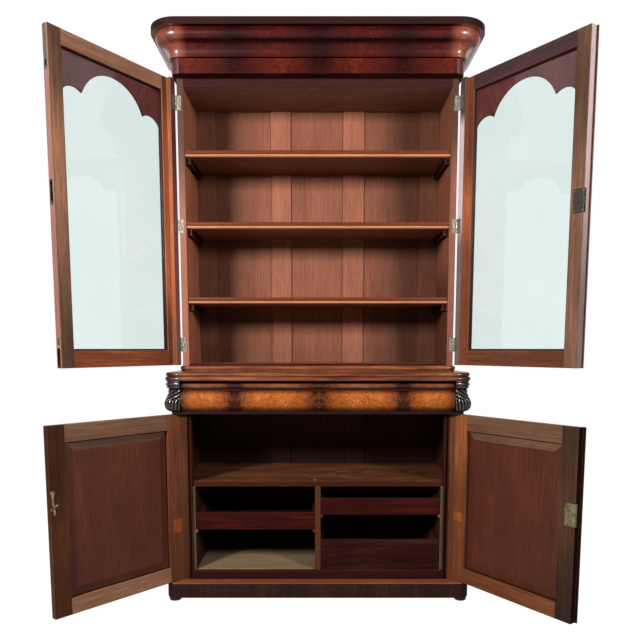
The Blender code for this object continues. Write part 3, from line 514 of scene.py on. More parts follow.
def once(maker):
    """Lets a function make the shader of a finish, and keeps the finish under its name."""
    def named(name, *values, **more):
        if name not in FINISHES:
            FINISHES[name] = bpy.data.materials.new(name)
            tree = empty_tree(FINISHES[name])
            add(tree, "OutputMaterial", {"Surface": maker(tree, *values, **more)})
        return FINISHES[name]
    return named


def shades(kind, parts, tone=1.0):
    group = bpy.context.scene.bookcase_finishes
    return [[value * tone for value in getattr(group, f"{kind}_{part}")] for part in parts]


def darken(tree, colour, value, start, stop, least):
    """Multiplies a colour, smoothly down to a least share where a value goes from start to stop."""
    share = add(tree, "MapRange", {"Value": value, 1: start, 2: stop, 3: 1.0, 4: least},
                interpolation_type='SMOOTHSTEP')
    return add(tree, "Mix", {0: 1.0, 6: colour, 7: share}, data_type='RGBA', blend_type='MULTIPLY').outputs[2]


def age(tree, colour, place, ends, edges, lit_ends):
    """Darkening and lightening of a piece by its place, mostly painted shade and painted highlight.

    Ends and edges hold (start, stop, least share): the first by the distance from the middle of the case, the
    second by height. Over the last 50 mm of a cornice run the colour turns into the painted highlight of the
    corners.
    """
    if not (ends or edges or lit_ends):
        return colour
    parts = add(tree, "SeparateXYZ", {0: place}).outputs
    away = add(tree, "Math", {0: parts["X"]}, operation='ABSOLUTE')
    for value, limits in ((away, ends), (parts["Z"], edges)):
        for start, stop, least in limits:
            colour = darken(tree, colour, value, start, stop, least)
    # Painted highlight: the end of a cornice run blends into the colour of the lit corners
    if lit_ends:
        share = add(tree, "MapRange", {"Value": away, 1: lit_ends - 0.05, 2: lit_ends, 3: 0.0, 4: 0.9},
                    interpolation_type='SMOOTHSTEP')
        lit = (*bpy.context.scene.bookcase_finishes.corner_body, 1.0)
        colour = add(tree, "Mix", {0: share, 6: colour, 7: lit}, data_type='RGBA').outputs[2]
    return colour


# Sizes of the pores and the clouds of a wood, across and along the grain; a streak is so many times as long
PORE_SIZE, CLOUD_SIZE = (0.0025, 0.05), (0.10, 0.36)
STREAK_LENGTH = 30
SIDE_SHADE_MIDDLE = -0.02  # Where the back boards are lightest across the case; painted shade darkens them towards the sides
SCUFF_COLOUR = "A58A5E"


@once
def wood(tree, kind, grain='Z', roughness=0.45, specular=0.25, coat=0.0, streak=0.006, contrast=0.5, tone=1.0,
         turn=0.0, scuffs=0.0, faded=0.0, ends=0.0, edges=(), lit_ends=0.0):
    """Mahogany or pine boards.

    Sawn and polished wood: long streaks some 6 mm wide, fine pores along the grain and a slow change of tone
    over a hand's width, under wax or a thin shellac film that gives soft highlights. Pores are drawn 2.5 mm
    wide, coarser than real, so that they show. A board can darken towards the sides of the case, painted
    shade of the case sides. A piece can darken towards its ends and beyond a height, mostly painted shade,
    and a run of the cornice takes a painted highlight at its ends.
    """
    deep, body, light = shades(kind, WOOD_PARTS, tone)
    place = add(tree, "TexCoord", {}).outputs["Object"]
    turned = add(tree, "Mapping", {"Vector": place, "Rotation": (0.0, 0.0, -turn)})
    noises = []
    for (across, along), values in (
            ((streak, streak * STREAK_LENGTH), {"Detail": 4.0, "Roughness": 0.55, "Distortion": 0.35}),
            (PORE_SIZE, {"Detail": 2.0, "Roughness": 0.6}), (CLOUD_SIZE, {"Detail": 2.0})):
        scale = [1 / along if axis == grain else 1 / across for axis in "XYZ"]
        stretched = add(tree, "Mapping", {"Vector": turned, "Scale": scale})
        noises.append(add(tree, "TexNoise", {"Vector": stretched, "Scale": 1.0, **values}))
    streaks, pore, clouds = noises
    mixed = 0.0
    for noise, weight in ((streaks, 0.45), (clouds, 0.38), (pore, 0.17)):
        mixed = add(tree, "Math", {0: noise, 1: weight, 2: mixed}, operation='MULTIPLY_ADD')
    spread = 0.17 / contrast
    colour = set_ramp(add(tree, "ValToRGB", {"Fac": mixed}),
                      [(0.5 - spread, deep), (0.5, body), (0.5 + spread, light)])
    colour = darken(tree, colour, pore, 0.47, 0.33, 0.78)
    if scuffs:
        slanted = add(tree, "Mapping",
                      {"Vector": turned, "Rotation": (0.0, 0.0, 0.6), "Scale": (9.0, 70.0, 9.0)})
        scuff = add(tree, "TexNoise", {"Vector": slanted, "Scale": 1.0, "Detail": 3.0})
        mark = add(tree, "MapRange", {"Value": scuff, 1: 0.66, 2: 0.70, 3: 0.0, 4: scuffs})
        colour = add(tree, "Mix", {0: mark, 6: colour, 7: (*linear(SCUFF_COLOUR), 1.0)},
                     data_type='RGBA').outputs[2]
    # Painted shade of the case sides: the colour darkens away from the middle of the case
    if faded:
        across = add(tree, "SeparateXYZ", {0: place}).outputs["X"]
        across = add(tree, "Math", {0: across, 1: SIDE_SHADE_MIDDLE}, operation='SUBTRACT')
        away = add(tree, "Math", {0: across}, operation='ABSOLUTE')
        colour = darken(tree, colour, away, 0.20, 0.42, 1.0 - faded)
    colour = age(tree, colour, place, ((ends - 0.07, ends, 0.3),) if ends else (), edges, lit_ends)
    gloss = add(tree, "MapRange",
                {"Value": streaks, 1: 0.3, 2: 0.7, 3: roughness + 0.07, 4: roughness - 0.05})
    bump = add(tree, "Bump", {"Height": pore, "Strength": 0.08, "Distance": 0.0006})
    return add(tree, "BsdfPrincipled", {"Base Color": colour, "Roughness": gloss, "Normal": bump,
                                        "Specular IOR Level": specular, "Coat Weight": coat,
                                        "Coat Roughness": 0.14})


# Length of a leaf of veneer, and how far left of the middle the first seam lies
VENEER_LEAF = 0.350
VENEER_START = 0.345
# Grey along a leaf, from its seam to its other end: dark at the seams and lightest in the middle
LEAF_TONES = ((0.0, 0.10), (0.10, 0.14), (0.19, 0.46), (0.34, 0.66), (0.66, 0.70), (0.88, 0.50), (0.98, 0.24),
              (1.0, 0.20))


@once
def flame(tree, kind, roughness=0.36, specular=0.2, coat=0.1, mottle=0.012, seam=0.0, ends=0.0, edges=(),
          lit_ends=0.0):
    """Flame veneer in book-matched leaves.

    Each leaf, some 350 mm long, is bright in its middle with a fine feathered mottle of 12 mm flecks, darkens
    softly where two leaves meet, and mirrors the next. French polish gives it a clear gloss. A front can
    darken towards its ends and its upper and lower edges, painted shade, and a run of the cornice takes a
    painted highlight at its ends.
    """
    deep, body, light = shades(kind, WOOD_PARTS)
    place = add(tree, "TexCoord", {}).outputs["Object"]
    parts = add(tree, "SeparateXYZ", {0: place}).outputs
    shifted = add(tree, "Math", {0: parts["X"], 1: VENEER_START}, operation='ADD')
    fold = add(tree, "Math", {0: shifted, 1: VENEER_LEAF}, operation='PINGPONG')
    leaf = add(tree, "CombineXYZ", {"X": fold, "Y": parts["Y"], "Z": parts["Z"]})
    slanted = add(tree, "Mapping", {"Vector": leaf, "Rotation": (0.0, 0.75, 0.0)})
    slanted = add(tree, "Mapping",
                  {"Vector": slanted, "Scale": (1 / (1.9 * mottle), 1 / 0.05, 1 / (0.8 * mottle))})
    feather = add(tree, "TexNoise", {"Vector": slanted, "Scale": 1.0, "Detail": 5.0, "Roughness": 0.62,
                                     "Distortion": 0.9})
    cloudy = add(tree, "Mapping", {"Vector": leaf, "Scale": (16.0, 20.0, 24.0)})
    clouds = add(tree, "TexNoise", {"Vector": cloudy, "Scale": 1.0, "Detail": 3.0})
    along = add(tree, "Math", {0: fold, 1: VENEER_LEAF}, operation='DIVIDE')
    wander = add(tree, "Math", {0: clouds, 1: 0.12, 2: along}, operation='MULTIPLY_ADD')
    tones = set_ramp(add(tree, "ValToRGB", {"Fac": wander}),
                     [(position, (max(value, seam),) * 3) for position, value in LEAF_TONES])
    mixed = -0.475
    for pattern, weight in ((feather, 0.95), (clouds, 0.35), (tones, 0.80)):
        mixed = add(tree, "Math", {0: pattern, 1: weight, 2: mixed}, operation='MULTIPLY_ADD')
    mixed = add(tree, "Math", {0: mixed, 1: 0.19}, operation='SUBTRACT')
    colour = set_ramp(add(tree, "ValToRGB", {"Fac": mixed}), [(0.08, deep), (0.52, body), (0.92, light)])
    colour = age(tree, colour, place, ((ends - 0.06, ends, 0.22),) if ends else (), edges, lit_ends)
    gloss = add(tree, "MapRange",
                {"Value": feather, 1: 0.3, 2: 0.7, 3: roughness + 0.06, 4: roughness - 0.04})
    bump = add(tree, "Bump", {"Height": feather, "Strength": 0.04, "Distance": 0.0005})
    return add(tree, "BsdfPrincipled", {"Base Color": colour, "Roughness": gloss, "Normal": bump,
                                        "Specular IOR Level": specular, "Coat Weight": coat,
                                        "Coat Roughness": roughness})


@once
def metal(tree, kind, roughness=0.42, blotch=0.008):
    """Old brass or iron fittings: cast and filed, dull with tarnish in blotches of a few millimetres, and
    rubbed brighter in between."""
    bright, dull = shades(kind, METAL_PARTS)
    place = add(tree, "TexCoord", {}).outputs["Object"]
    tarnish = add(tree, "TexNoise", {"Vector": place, "Scale": 1 / blotch, "Detail": 4.0, "Roughness": 0.6})
    colour = set_ramp(add(tree, "ValToRGB", {"Fac": tarnish}), [(0.38, dull), (0.62, bright)])
    gloss = add(tree, "MapRange",
                {"Value": tarnish, 1: 0.35, 2: 0.65, 3: roughness + 0.18, 4: roughness - 0.08})
    bump = add(tree, "Bump", {"Height": tarnish, "Strength": 0.15, "Distance": 0.0004})
    return add(tree, "BsdfPrincipled",
               {"Base Color": colour, "Metallic": 1.0, "Roughness": gloss, "Normal": bump})


@once
def window_glass(tree):
    """Old cylinder glass: clear with a faint green-blue tint, and slow ripples some 90 mm across."""
    tint = bpy.context.scene.bookcase_finishes.glass_tint
    place = add(tree, "TexCoord", {}).outputs["Object"]
    ripple = add(tree, "TexNoise", {"Vector": place, "Scale": 1 / 0.09, "Detail": 1.0})
    cloud = add(tree, "TexNoise", {"Vector": place, "Scale": 1 / 0.35, "Detail": 1.0})
    colour = set_ramp(add(tree, "ValToRGB", {"Fac": cloud}),
                      [(0.35, [c * 0.965 for c in tint]), (0.65, tint)])
    bump = add(tree, "Bump", {"Height": ripple, "Strength": 0.06, "Distance": 0.002})
    return add(tree, "BsdfPrincipled", {"Base Color": colour, "Roughness": 0.02, "IOR": 1.5,
                                        "Transmission Weight": 1.0, "Normal": bump})


# The paper's grey where it throws light back and where it is seen; the share and strength of the plain white
# over it where it is seen, and how much of that a reflection takes
PAPER_THROWN, PAPER_SEEN = 0.30, 0.80
WHITE_SHARE, WHITE_STRENGTH, WHITE_IN_GLOSS = 0.90, 1.12, 0.12


@once
def studio_paper(tree):
    """White background paper: it keeps a soft shadow, and is seen as plain white from the camera."""
    colour = bpy.context.scene.bookcase_finishes.floor
    path = add(tree, "LightPath", {}).outputs
    seen = add(tree, "Math", {0: path["Is Camera Ray"], 1: path["Is Transmission Ray"]}, operation='MAXIMUM')
    glossy = add(tree, "Math", {0: path["Is Glossy Ray"], 1: WHITE_IN_GLOSS}, operation='MULTIPLY')
    seen = add(tree, "Math", {0: seen, 1: glossy}, operation='MAXIMUM')
    share = add(tree, "Math", {0: seen, 1: WHITE_SHARE}, operation='MULTIPLY')
    thrown, plain = ((*[c * grey for c in colour], 1.0) for grey in (PAPER_THROWN, PAPER_SEEN))
    tone = add(tree, "Mix", {0: seen, 6: thrown, 7: plain}, data_type='RGBA')
    paper = add(tree, "BsdfDiffuse", {"Color": tone.outputs[2]})
    white = add(tree, "Emission", {"Color": (*colour, 1.0), "Strength": WHITE_STRENGTH})
    return add(tree, "MixShader", {0: share, 1: paper, 2: white})


def polished():
    return wood("french_polished_mahogany_z", "polished", 'Z', 0.30, 0.25, 0.25)


def inside(grain, tone, tag, edges=()):
    return wood(f"waxed_inside_mahogany_{grain.lower()}{tag}", "inside", grain, 0.5, 0.15, tone=tone,
                edges=edges)


def rubbed(grain, tone=1.0, tag=""):
    return wood(f"rubbed_mahogany_edge_{grain.lower()}{tag}", "edge", grain, 0.42, 0.2, tone=tone)


def carved(tone, tag, specular=0.3, coat=0.3):
    return wood(f"dark_polished_carving{tag}", "carved", 'Z', 0.32, specular, coat, tone=tone)


# Dark, dull wood that stands for shade: painted shade in hollows, undersides, grooves and gaps
def painted_shade(tone):
    return wood(f"grimy_hollow_{round(tone * 100)}", "carved", 'Z', 0.7, 0.04, tone=tone)


def pine(grain, tone=1.0, tag=""):
    return wood(f"bare_pine_{grain.lower()}{tag}", "pine", grain, 0.7, 0.1, 0.0, 0.012, 0.7, tone)


def brass():
    return metal("tarnished_cast_brass", "brass")


def iron():
    return metal("dark_lock_iron", "steel", 0.45)


def sizes():
    return bpy.context.scene.bookcase_sizes


# ---------------------------------------------------------------- pieces

class BOOKCASE_OT_cornice(Operator):
    """Cornice with rounded corners, the frieze under it and the dust board on top"""

    bl_idname = "bookcase.cornice"
    bl_label = "Cornice and frieze"

    def execute(self, context):
        radius = sizes().corner_radius
        low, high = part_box("frieze")
        half_width, front, back = high.x, low.y, high.y
        base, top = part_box("cornice")[0].z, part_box("cornice")[1].z
        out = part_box("cornice")[1].x - half_width
        inner, fascia = -0.022, base + 0.0960
        section = [(inner, base), (0.0080, base)] + arc((0.0080, base + 0.0040), 0.0040, -85, 85, 10)
        section += bow((0.0085, base + 0.0095), (0.0420, base + 0.0520), 0.0105, 20)
        section += bow((0.0580, base + 0.0945), (0.0420, base + 0.0520), 0.0134, 24)[::-1][1:]
        section += [(0.0595, fascia), (out - 0.0035, fascia)]
        section += arc((out - 0.0025, base + 0.0985), 0.0025, -80, 0, 4)
        section += arc((out - 0.0025, top - 0.0025), 0.0025, 0, 90, 4)
        section += [(inner, top)]
        turned = half_width - radius + 0.006

        # The fascia takes its own dull finish. The rounded corners take a salmon painted highlight and faces
        # that look down take painted shade; both runs lighten into the corner colour over their last 50 mm, a
        # painted highlight.
        def number_for(middle, normal):
            if middle.z > fascia + 0.0002:
                return 1
            if abs(middle.x) > turned:
                return 3
            return 2 if normal.z < -0.85 else 0

        cornice = give(run_moulding("cornice_moulding", section, half_width, front, back, radius, 24),
                       flame("flame_mahogany_cornice", "cornice", 0.36, 0.12, 0.15, 0.009, 0.3,
                             lit_ends=turned),
                       wood("dull_cornice_fascia", "fascia", 'X', 0.42, 0.06),
                       wood("grimy_cornice_hollow", "carved", 'Z', 0.7, 0.04, tone=0.8, lit_ends=turned),
                       wood("lit_cornice_corner", "corner", 'Z', 0.34, 0.5, 0.5, 0.008, 0.9), by=number_for)
        settle(cornice, "case", "polished_mahogany", "cornice")

        # Faces that look down take painted shade; the rounded corners take a purple-brown painted reflection
        def frieze_part(middle, normal):
            return 1 if normal.z < -0.5 else (2 if abs(middle.x) > turned else 0)

        outline = rounded_front(half_width, front, back, radius, 24)
        frieze = give(sawn("frieze_veneered", outline, (low.z, high.z), 'Z'),
                      flame("flame_mahogany_frieze", "frieze", 0.34, 0.08, 0.08, 0.009, 0.28), painted_shade(2.6),
                      wood("frieze_corner_mahogany", "back_edge", 'Z', 0.34, 0.3, 0.3),
                      by=frieze_part)
        settle(soften(frieze, 0.0015, 3, 60.0), "case", "flame_mahogany", "frieze")
        worn("cornice_dust_board", (pine('X'), pine('X')), 0.0006)
        return {'FINISHED'}


class BOOKCASE_OT_upper_case(Operator):
    """Sides with their shelf bearers, ceiling, floor and panelled back of the upper case"""

    bl_idname = "bookcase.upper_case"
    bl_label = "Upper case"

    def execute(self, context):
        wear = sizes().edge_wear
        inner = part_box("bookcase_ceiling")[1].x
        # The left wall and front edge are painted lighter than the right ones, painted light and shade; the
        # right wall darkens towards the bottom and the front edges towards the top, painted shade.
        for side, wall_lighting_tone, wall_height_darkening, edge_lighting_tone, edge_height_darkening in (
                (LEFT, 0.95, (), 0.8, (1.60, 1.98, 0.25)),
                (RIGHT, 0.62, ((1.50, 1.32, 0.45),), 0.55, (1.78, 2.02, 0.30))):

            def number_for(middle, normal, side=side):
                away = abs(middle.x)
                if side * normal.x > 0.7:
                    return 0
                if normal.y < -0.7 and away > inner - 0.001:
                    return 3
                # Bearers: dark wood, darkened further by painted shade
                bearer = away < inner - 0.001 and abs(normal.x) < 0.9 or away < inner - 0.012
                return 2 if bearer else 1

            wall = inside('Z', wall_lighting_tone, f"_{SIDE_NAMES[side]}_wall", wall_height_darkening)
            edge = wood(f"case_front_edge_{SIDE_NAMES[side]}", "inside", 'Z', 0.45, 0.2, tone=edge_lighting_tone,
                        edges=(edge_height_darkening,))
            worn(f"bookcase_{SIDE_NAMES[side]}_side", (polished(), wall, painted_shade(1.1), edge, edge), wear,
                 number_for)
        front = wood("ceiling_edge_mahogany", "back_edge", 'X', 0.6, 0.03, tone=0.42)
        scuffed = wood("scuffed_ceiling_mahogany", "ceiling", 'X', 0.6, 0.1, scuffs=0.8)
        worn("bookcase_ceiling", (scuffed, front, front), wear, front_second)
        red = wood("red_floor_edge", "tray", 'X', 0.6, 0.05, tone=1.1)
        worn("bookcase_floor", (inside('X', 0.6, "_floor"), red), wear, front_second)
        self.make_back()
        shelf_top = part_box("inner_shelf")[1].z
        dark = wood("cupboard_back_mahogany", "panel", 'Z', 0.6, 0.1, tone=0.65,
                    edges=((shelf_top + 0.16, shelf_top + 0.02, 0.4),))
        worn("cupboard_back", (dark, dark), 0.0016)
        return {'FINISHED'}

    def make_back(self):
        """Back of the upper case: boards at the depth of the panels, with stiles and muntins on them."""
        low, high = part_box("bookcase_back")
        face = low.y + 0.009
        joint_x = -0.311
        # Painted shade: the back darkens towards the sides of the case and below the lowest shelf
        back_shade_settings = {"contrast": 0.6, "faded": 0.50, "edges": ((1.24, 1.02, 0.75),)}
        boards = [block("back_board", (x0, face, low.z), (x1, high.y, high.z))
                  for x0, x1 in ((low.x, joint_x), (joint_x, high.x))]
        board = give(soften(join("back_boards", *boards), 0.0009),
                     wood("faded_back_panel", "back", 'Z', 0.6, 0.1, streak=0.005, **back_shade_settings))
        uprights = [block("back_upright", (x0, low.y, low.z), (x1, face + 0.001, high.z))
                    for x0, x1 in ((low.x, -0.484), (-0.220, -0.1276), (0.1197, 0.2184), (0.485, high.x))]
        upright = give(soften(join("back_uprights", *uprights), 0.0016, 3),
                       wood("faded_back_muntin", "back", 'Z', 0.55, 0.12, streak=0.007, tone=1.3, **back_shade_settings))
        settle(join("bookcase_back_boards", board, upright), "case", "inside_mahogany", "bookcase_back")


class BOOKCASE_OT_shelves(Operator):
    """Three shelves with a thin bead over a large bead on the front edge"""

    bl_idname = "bookcase.shelves"
    bl_label = "Shelves"

    def execute(self, context):
        bead = sizes().shelf_bead
        for number in (1, 2, 3):
            low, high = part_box(f"shelf_{number}")
            front, top = low.y, high.z
            nose = [(high.y, low.z), (high.y, top)]
            nose += arc((front + 0.0035, top - 0.0022), 0.0022, 90, 170, 5)
            nose += bow((front + 0.0028, top - 0.0145), (front + 0.0012, top - 0.0032), 0.0012, 6)[::-1]
            nose += [(front + 0.0046, top - 0.0150), (front + 0.0046, top - 0.0158)]
            nose += arc((front + bead, top - 0.0160 - bead), bead, 105, 255, 14)
            nose += [(front + 0.0052, low.z + 0.0016), (front + 0.0070, low.z)]

            def number_for(middle, normal, front=front, top=top):
                if middle.y > front + 0.0050:
                    return 0
                return 1 if middle.z > top - 0.0155 else 2

            shelf = give(sawn(f"shelf_{number}_beaded", nose, (low.x, high.x), 'X'),
                         inside('X', 0.62, "_shelf"),
                         wood("red_shelf_edge", "shelf", 'X', 0.4, 0.2),
                         wood("rubbed_shelf_bead", "edge", 'X', 0.36, 0.25, 0.1), by=number_for)
            settle(shelf, "case", "inside_mahogany", f"shelf_{number}")
        return {'FINISHED'}


class BOOKCASE_OT_waist(Operator):
    """Base moulding of the upper case and the moulded top of the cupboard"""

    bl_idname = "bookcase.waist"
    bl_label = "Waist mouldings"

    def execute(self, context):
        # The runs darken towards their ends: painted shade on the turned corners
        moulded = wood("figured_waist_moulding", "waist", 'X', 0.32, 0.25, 0.25, 0.007, 1.2,
                       ends=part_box("cupboard_top")[1].x - 0.036)
        low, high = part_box("bookcase_base_moulding")
        side_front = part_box("bookcase_left_side")[0].y
        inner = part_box("bookcase_right_side")[1].x + SEAT
        out = high.x - inner
        rim = 0.044
        section = [(-0.0005, low.z), (out - 0.0035, low.z), (out - 0.0035, low.z + 0.0028)]
        section += arc((out - 0.0095, low.z + 0.0125), 0.0095, -80, 88, 16)
        section += [(-0.0005, high.z)]
        strip = run_moulding("base_moulding_strip", section, inner, low.y + out, high.y, rim - out)
        outline = rounded_front(inner, low.y + out - 0.0002, side_front - SEAT, rim - out)
        board = soften(sawn("base_moulding_board", outline, (low.z, high.z), 'Z'), 0.003, 3, 60.0)
        base = join("base_moulding_run", give(strip, moulded), give(board, moulded))
        settle(base, "case", "polished_mahogany", "bookcase_base_moulding")

        low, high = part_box("cupboard_top")
        half_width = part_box("cupboard_right_side")[1].x
        out = high.x - half_width
        front = low.y + out
        section = [(-0.030, low.z), (out - 0.0085, low.z)]
        section += arc((out - 0.0085, low.z + 0.0085), 0.0085, -85, 80, 14)
        section += [(out - 0.0095, low.z + 0.0172), (out - 0.0095, low.z + 0.0180)]
        section += arc((out - 0.0120, low.z + 0.0262), 0.0082, -78, 88, 14)
        section += [(-0.030, low.z + 0.0344)]
        radius = sizes().corner_radius
        strip = run_moulding("cupboard_top_strip", section, half_width, front, high.y, radius)
        lap = half_width - 0.028
        outline = rounded_front(lap, front + 0.028, high.y, radius - 0.028)
        board = sawn("cupboard_top_board", outline, (low.z + 0.0006, high.z - 0.0004), 'Z')
        top = join("cupboard_top_moulded", give(strip, moulded), give(board, moulded))
        settle(top, "case", "polished_mahogany", "cupboard_top")
        return {'FINISHED'}


class BOOKCASE_OT_frieze_drawer(Operator):
    """Cushion fronted frieze drawer, veneered in book-matched leaves, and its pine box"""

    bl_idname = "bookcase.frieze_drawer"
    bl_label = "Frieze drawer"

    def execute(self, context):
        low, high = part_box("frieze_drawer_front")
        face = low.y + 0.014
        quirk, band, lip = low.z + 0.0865, low.z + 0.0955, low.z + 0.1150
        section = [(high.y, high.z), (high.y, low.z), (face + 0.004, low.z)]
        section += bow((face + 0.0060, low.z + 0.0010), (face + 0.0060, quirk), 0.0192, 28)
        section += [(face + 0.0105, quirk + 0.0006), (face + 0.0105, band - 0.0006)]
        section += bow((face + 0.0045, band), (face + 0.0045, lip), 0.0052, 12)
        section += [(face + 0.0130, lip + 0.0006), (face + 0.0130, high.z)]

        def number_for(middle, normal):
            if abs(normal.x) < 0.5 and face + 0.0075 < middle.y < face + 0.0140:
                return 2
            return 1 if middle.z > band - 0.002 else 0

        # The cushion darkens towards its ends, under the quirk and at its lower edge, painted shade; the
        # faces in the quirk take a dark red, painted shade in the recess.
        front = give(sawn("frieze_drawer_cushion", section, (low.x, high.x), 'X'),
                     flame("flame_mahogany_drawer", "flame", 0.42, 0.08, 0.03, 0.008, 0.14, high.x,
                           ((quirk - 0.018, quirk - 0.002, 0.35), (low.z + 0.026, low.z + 0.004, 0.25))),
                     flame("flame_mahogany_band", "band", 0.42, 0.12, 0.06, 0.008, 0.14, high.x),
                     wood("red_quirk", "tray", 'X', 0.6, 0.05, tone=1.5), by=number_for)
        settle(soften(front, 0.0006, 2, 60.0), "frieze_drawer", "flame_mahogany", "frieze_drawer_front")
        worn("frieze_drawer_box", (pine('X'), pine('X')), 0.0006)
        return {'FINISHED'}


class BOOKCASE_OT_corbels(Operator):
    """Carved corner corbels: ringed cap, slanting leaves and a fluted bulge"""

    bl_idname = "bookcase.corbels"
    bl_label = "Corbels"

    def execute(self, context):
        depth = sizes().flute_depth
        for side in (LEFT, RIGHT):
            node = f"{SIDE_NAMES[side]}_corbel"
            low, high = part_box(node)
            corner = Vector((low.x if side == RIGHT else high.x, high.y, 0.0))
            height, reach = high.z - low.z, high.x - low.x
            flat = (high.y - low.y) / reach
            rings = [(1.0, 0.85), (0.962, 0.86), (0.950, 0.80), (0.938, 0.80), (0.925, 0.88), (0.890, 0.90),
                     (0.855, 0.88), (0.845, 0.80), (0.832, 0.79), (0.820, 0.85), (0.795, 0.86), (0.772, 0.83),
                     (0.760, 0.75)]
            curve = [(0.70, 0.725), (0.62, 0.72), (0.54, 0.77), (0.46, 0.84), (0.38, 0.90), (0.30, 0.945),
                     (0.22, 0.955), (0.14, 0.93), (0.08, 0.88), (0.03, 0.80), (0.0, 0.70)]
            section = rings[:]
            for (t0, r0), (t1, r1) in zip([rings[-1]] + curve[:-1], curve):
                section += [(t0 + (t1 - t0) * k / 3, r0 + (r1 - r0) * k / 3) for k in (1, 2, 3)]
            start_clean()
            bpy.ops.mesh.primitive_circle_add(vertices=len(section) + 2, fill_type='NGON')
            piece = name_new(f"{node}_carved")
            start = math.pi if side == LEFT else -math.pi / 2
            points = [(0.0, 1.0)] + [(r * reach, t) for t, r in section] + [(0.0, 0.0)]
            for vertex, (out, part) in zip(piece.data.vertices, points):
                vertex.co = (out * math.cos(start), out * math.sin(start), low.z + part * height)
            edit(piece)
            bpy.ops.mesh.spin(steps=72, angle=-math.pi / 2, center=(0.0, 0.0, 0.0), axis=(0.0, 0.0, 1.0))
            close(piece)

            def carving(point, side=side, start=start, low=low, height=height):
                """How high a point stands, from 0 in a groove to 1, and how deep the carving is there."""
                around = ((math.atan2(point.y, point.x) - start + 0.01) % math.tau - 0.01) / (math.pi / 2)
                around = around if side == RIGHT else 1.0 - around
                part = (point.z - low.z) / height
                fade = max(0.0, min(1.0, (0.76 - part) / 0.06)) * max(0.0, min(1.0, part / 0.05))
                flutes = abs(math.sin(math.pi * (around * 7.0 + part * 1.6)))
                slant = abs(math.sin(math.pi * (around * 2.6 + part * 8.0)))
                blend = max(0.0, min(1.0, (part - 0.34) / 0.12))
                return flutes * (1.0 - blend) + slant * blend, fade

            for vertex in piece.data.vertices:
                out = math.hypot(vertex.co.x, vertex.co.y)
                if out > 0.3 * reach:
                    raised, fade = carving(vertex.co)
                    out_new = out + fade * depth * (raised * 1.5 - 1.0)
                    vertex.co.x *= out_new / out
                    vertex.co.y *= out_new / out

            # Raised carving takes a grey painted highlight; the grooves and the sunk rings take painted shade
            def number_for(middle, normal, carving=carving, reach=reach):
                raised, fade = carving(middle)
                if fade < 0.5:
                    return 1 if math.hypot(middle.x, middle.y) < 0.825 * reach else 0
                return 0 if raised > 0.58 else 1

            give(piece, wood("polished_carved_ridges", "ridge", 'Z', 0.28, 0.5, 0.9), painted_shade(0.3),
                 by=number_for)
            for vertex in piece.data.vertices:
                vertex.co = (corner.x + vertex.co.x, corner.y + vertex.co.y * flat, vertex.co.z)
            settle(piece, "case", "carved_mahogany", node, angle=50.0)
        return {'FINISHED'}


class BOOKCASE_OT_plinth(Operator):
    """Plinth with a rounded upper edge on four low bun feet"""

    bl_idname = "bookcase.plinth"
    bl_label = "Plinth"

    def execute(self, context):
        low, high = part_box("plinth")
        foot_radius, set_in, foot_height = sizes().foot_radius, sizes().foot_set_in, sizes().foot_height
        wall, ceiling, rounding = 0.024, high.z - 0.018, 0.0075
        outline = rounded_front(high.x, low.y, high.y, sizes().corner_radius, 24)
        # Faces that look up take a lighter wood: painted light on the ledge
        body = give(sawn("plinth_body", outline, (foot_height, high.z), 'Z'),
                    wood("dark_plinth_mahogany", "plinth", 'Z', 0.42, 0.12, 0.05, 0.010, 0.8),
                    wood("lit_plinth_ledge", "waist", 'X', 0.40, 0.2, tone=1.1),
                    by=lambda middle, normal: 1 if normal.z > 0.5 else 0)
        edit(body, lambda face: face.normal.z < -0.9)
        bpy.ops.mesh.inset(thickness=wall)
        bpy.ops.mesh.extrude_region_move(TRANSFORM_OT_translate={"value": (0.0, 0.0, ceiling - foot_height)})
        bevel(body, lambda edge: all(v.co.z > high.z - 0.001 for v in edge.verts), rounding, 5)
        soften(body, 0.002, 2, 60.0)
        foot = round_bar("plinth_foot", (0.0, 0.0, high.z / 2 - 0.005), foot_radius, high.z - 0.010, sides=48)
        bevel(foot, lambda edge: all(v.co.z < 0.001 for v in edge.verts), rounding, 5)
        give(foot, carved(1.0, "_feet"))
        feet = [copy_of(foot, Matrix.Translation((side * (high.x - set_in), y, 0.0)))
                for side in (LEFT, RIGHT) for y in (low.y + set_in, high.y - set_in)]
        drop(foot)
        settle(join("plinth_on_feet", body, *feet), "case", "polished_mahogany", "plinth")
        return {'FINISHED'}


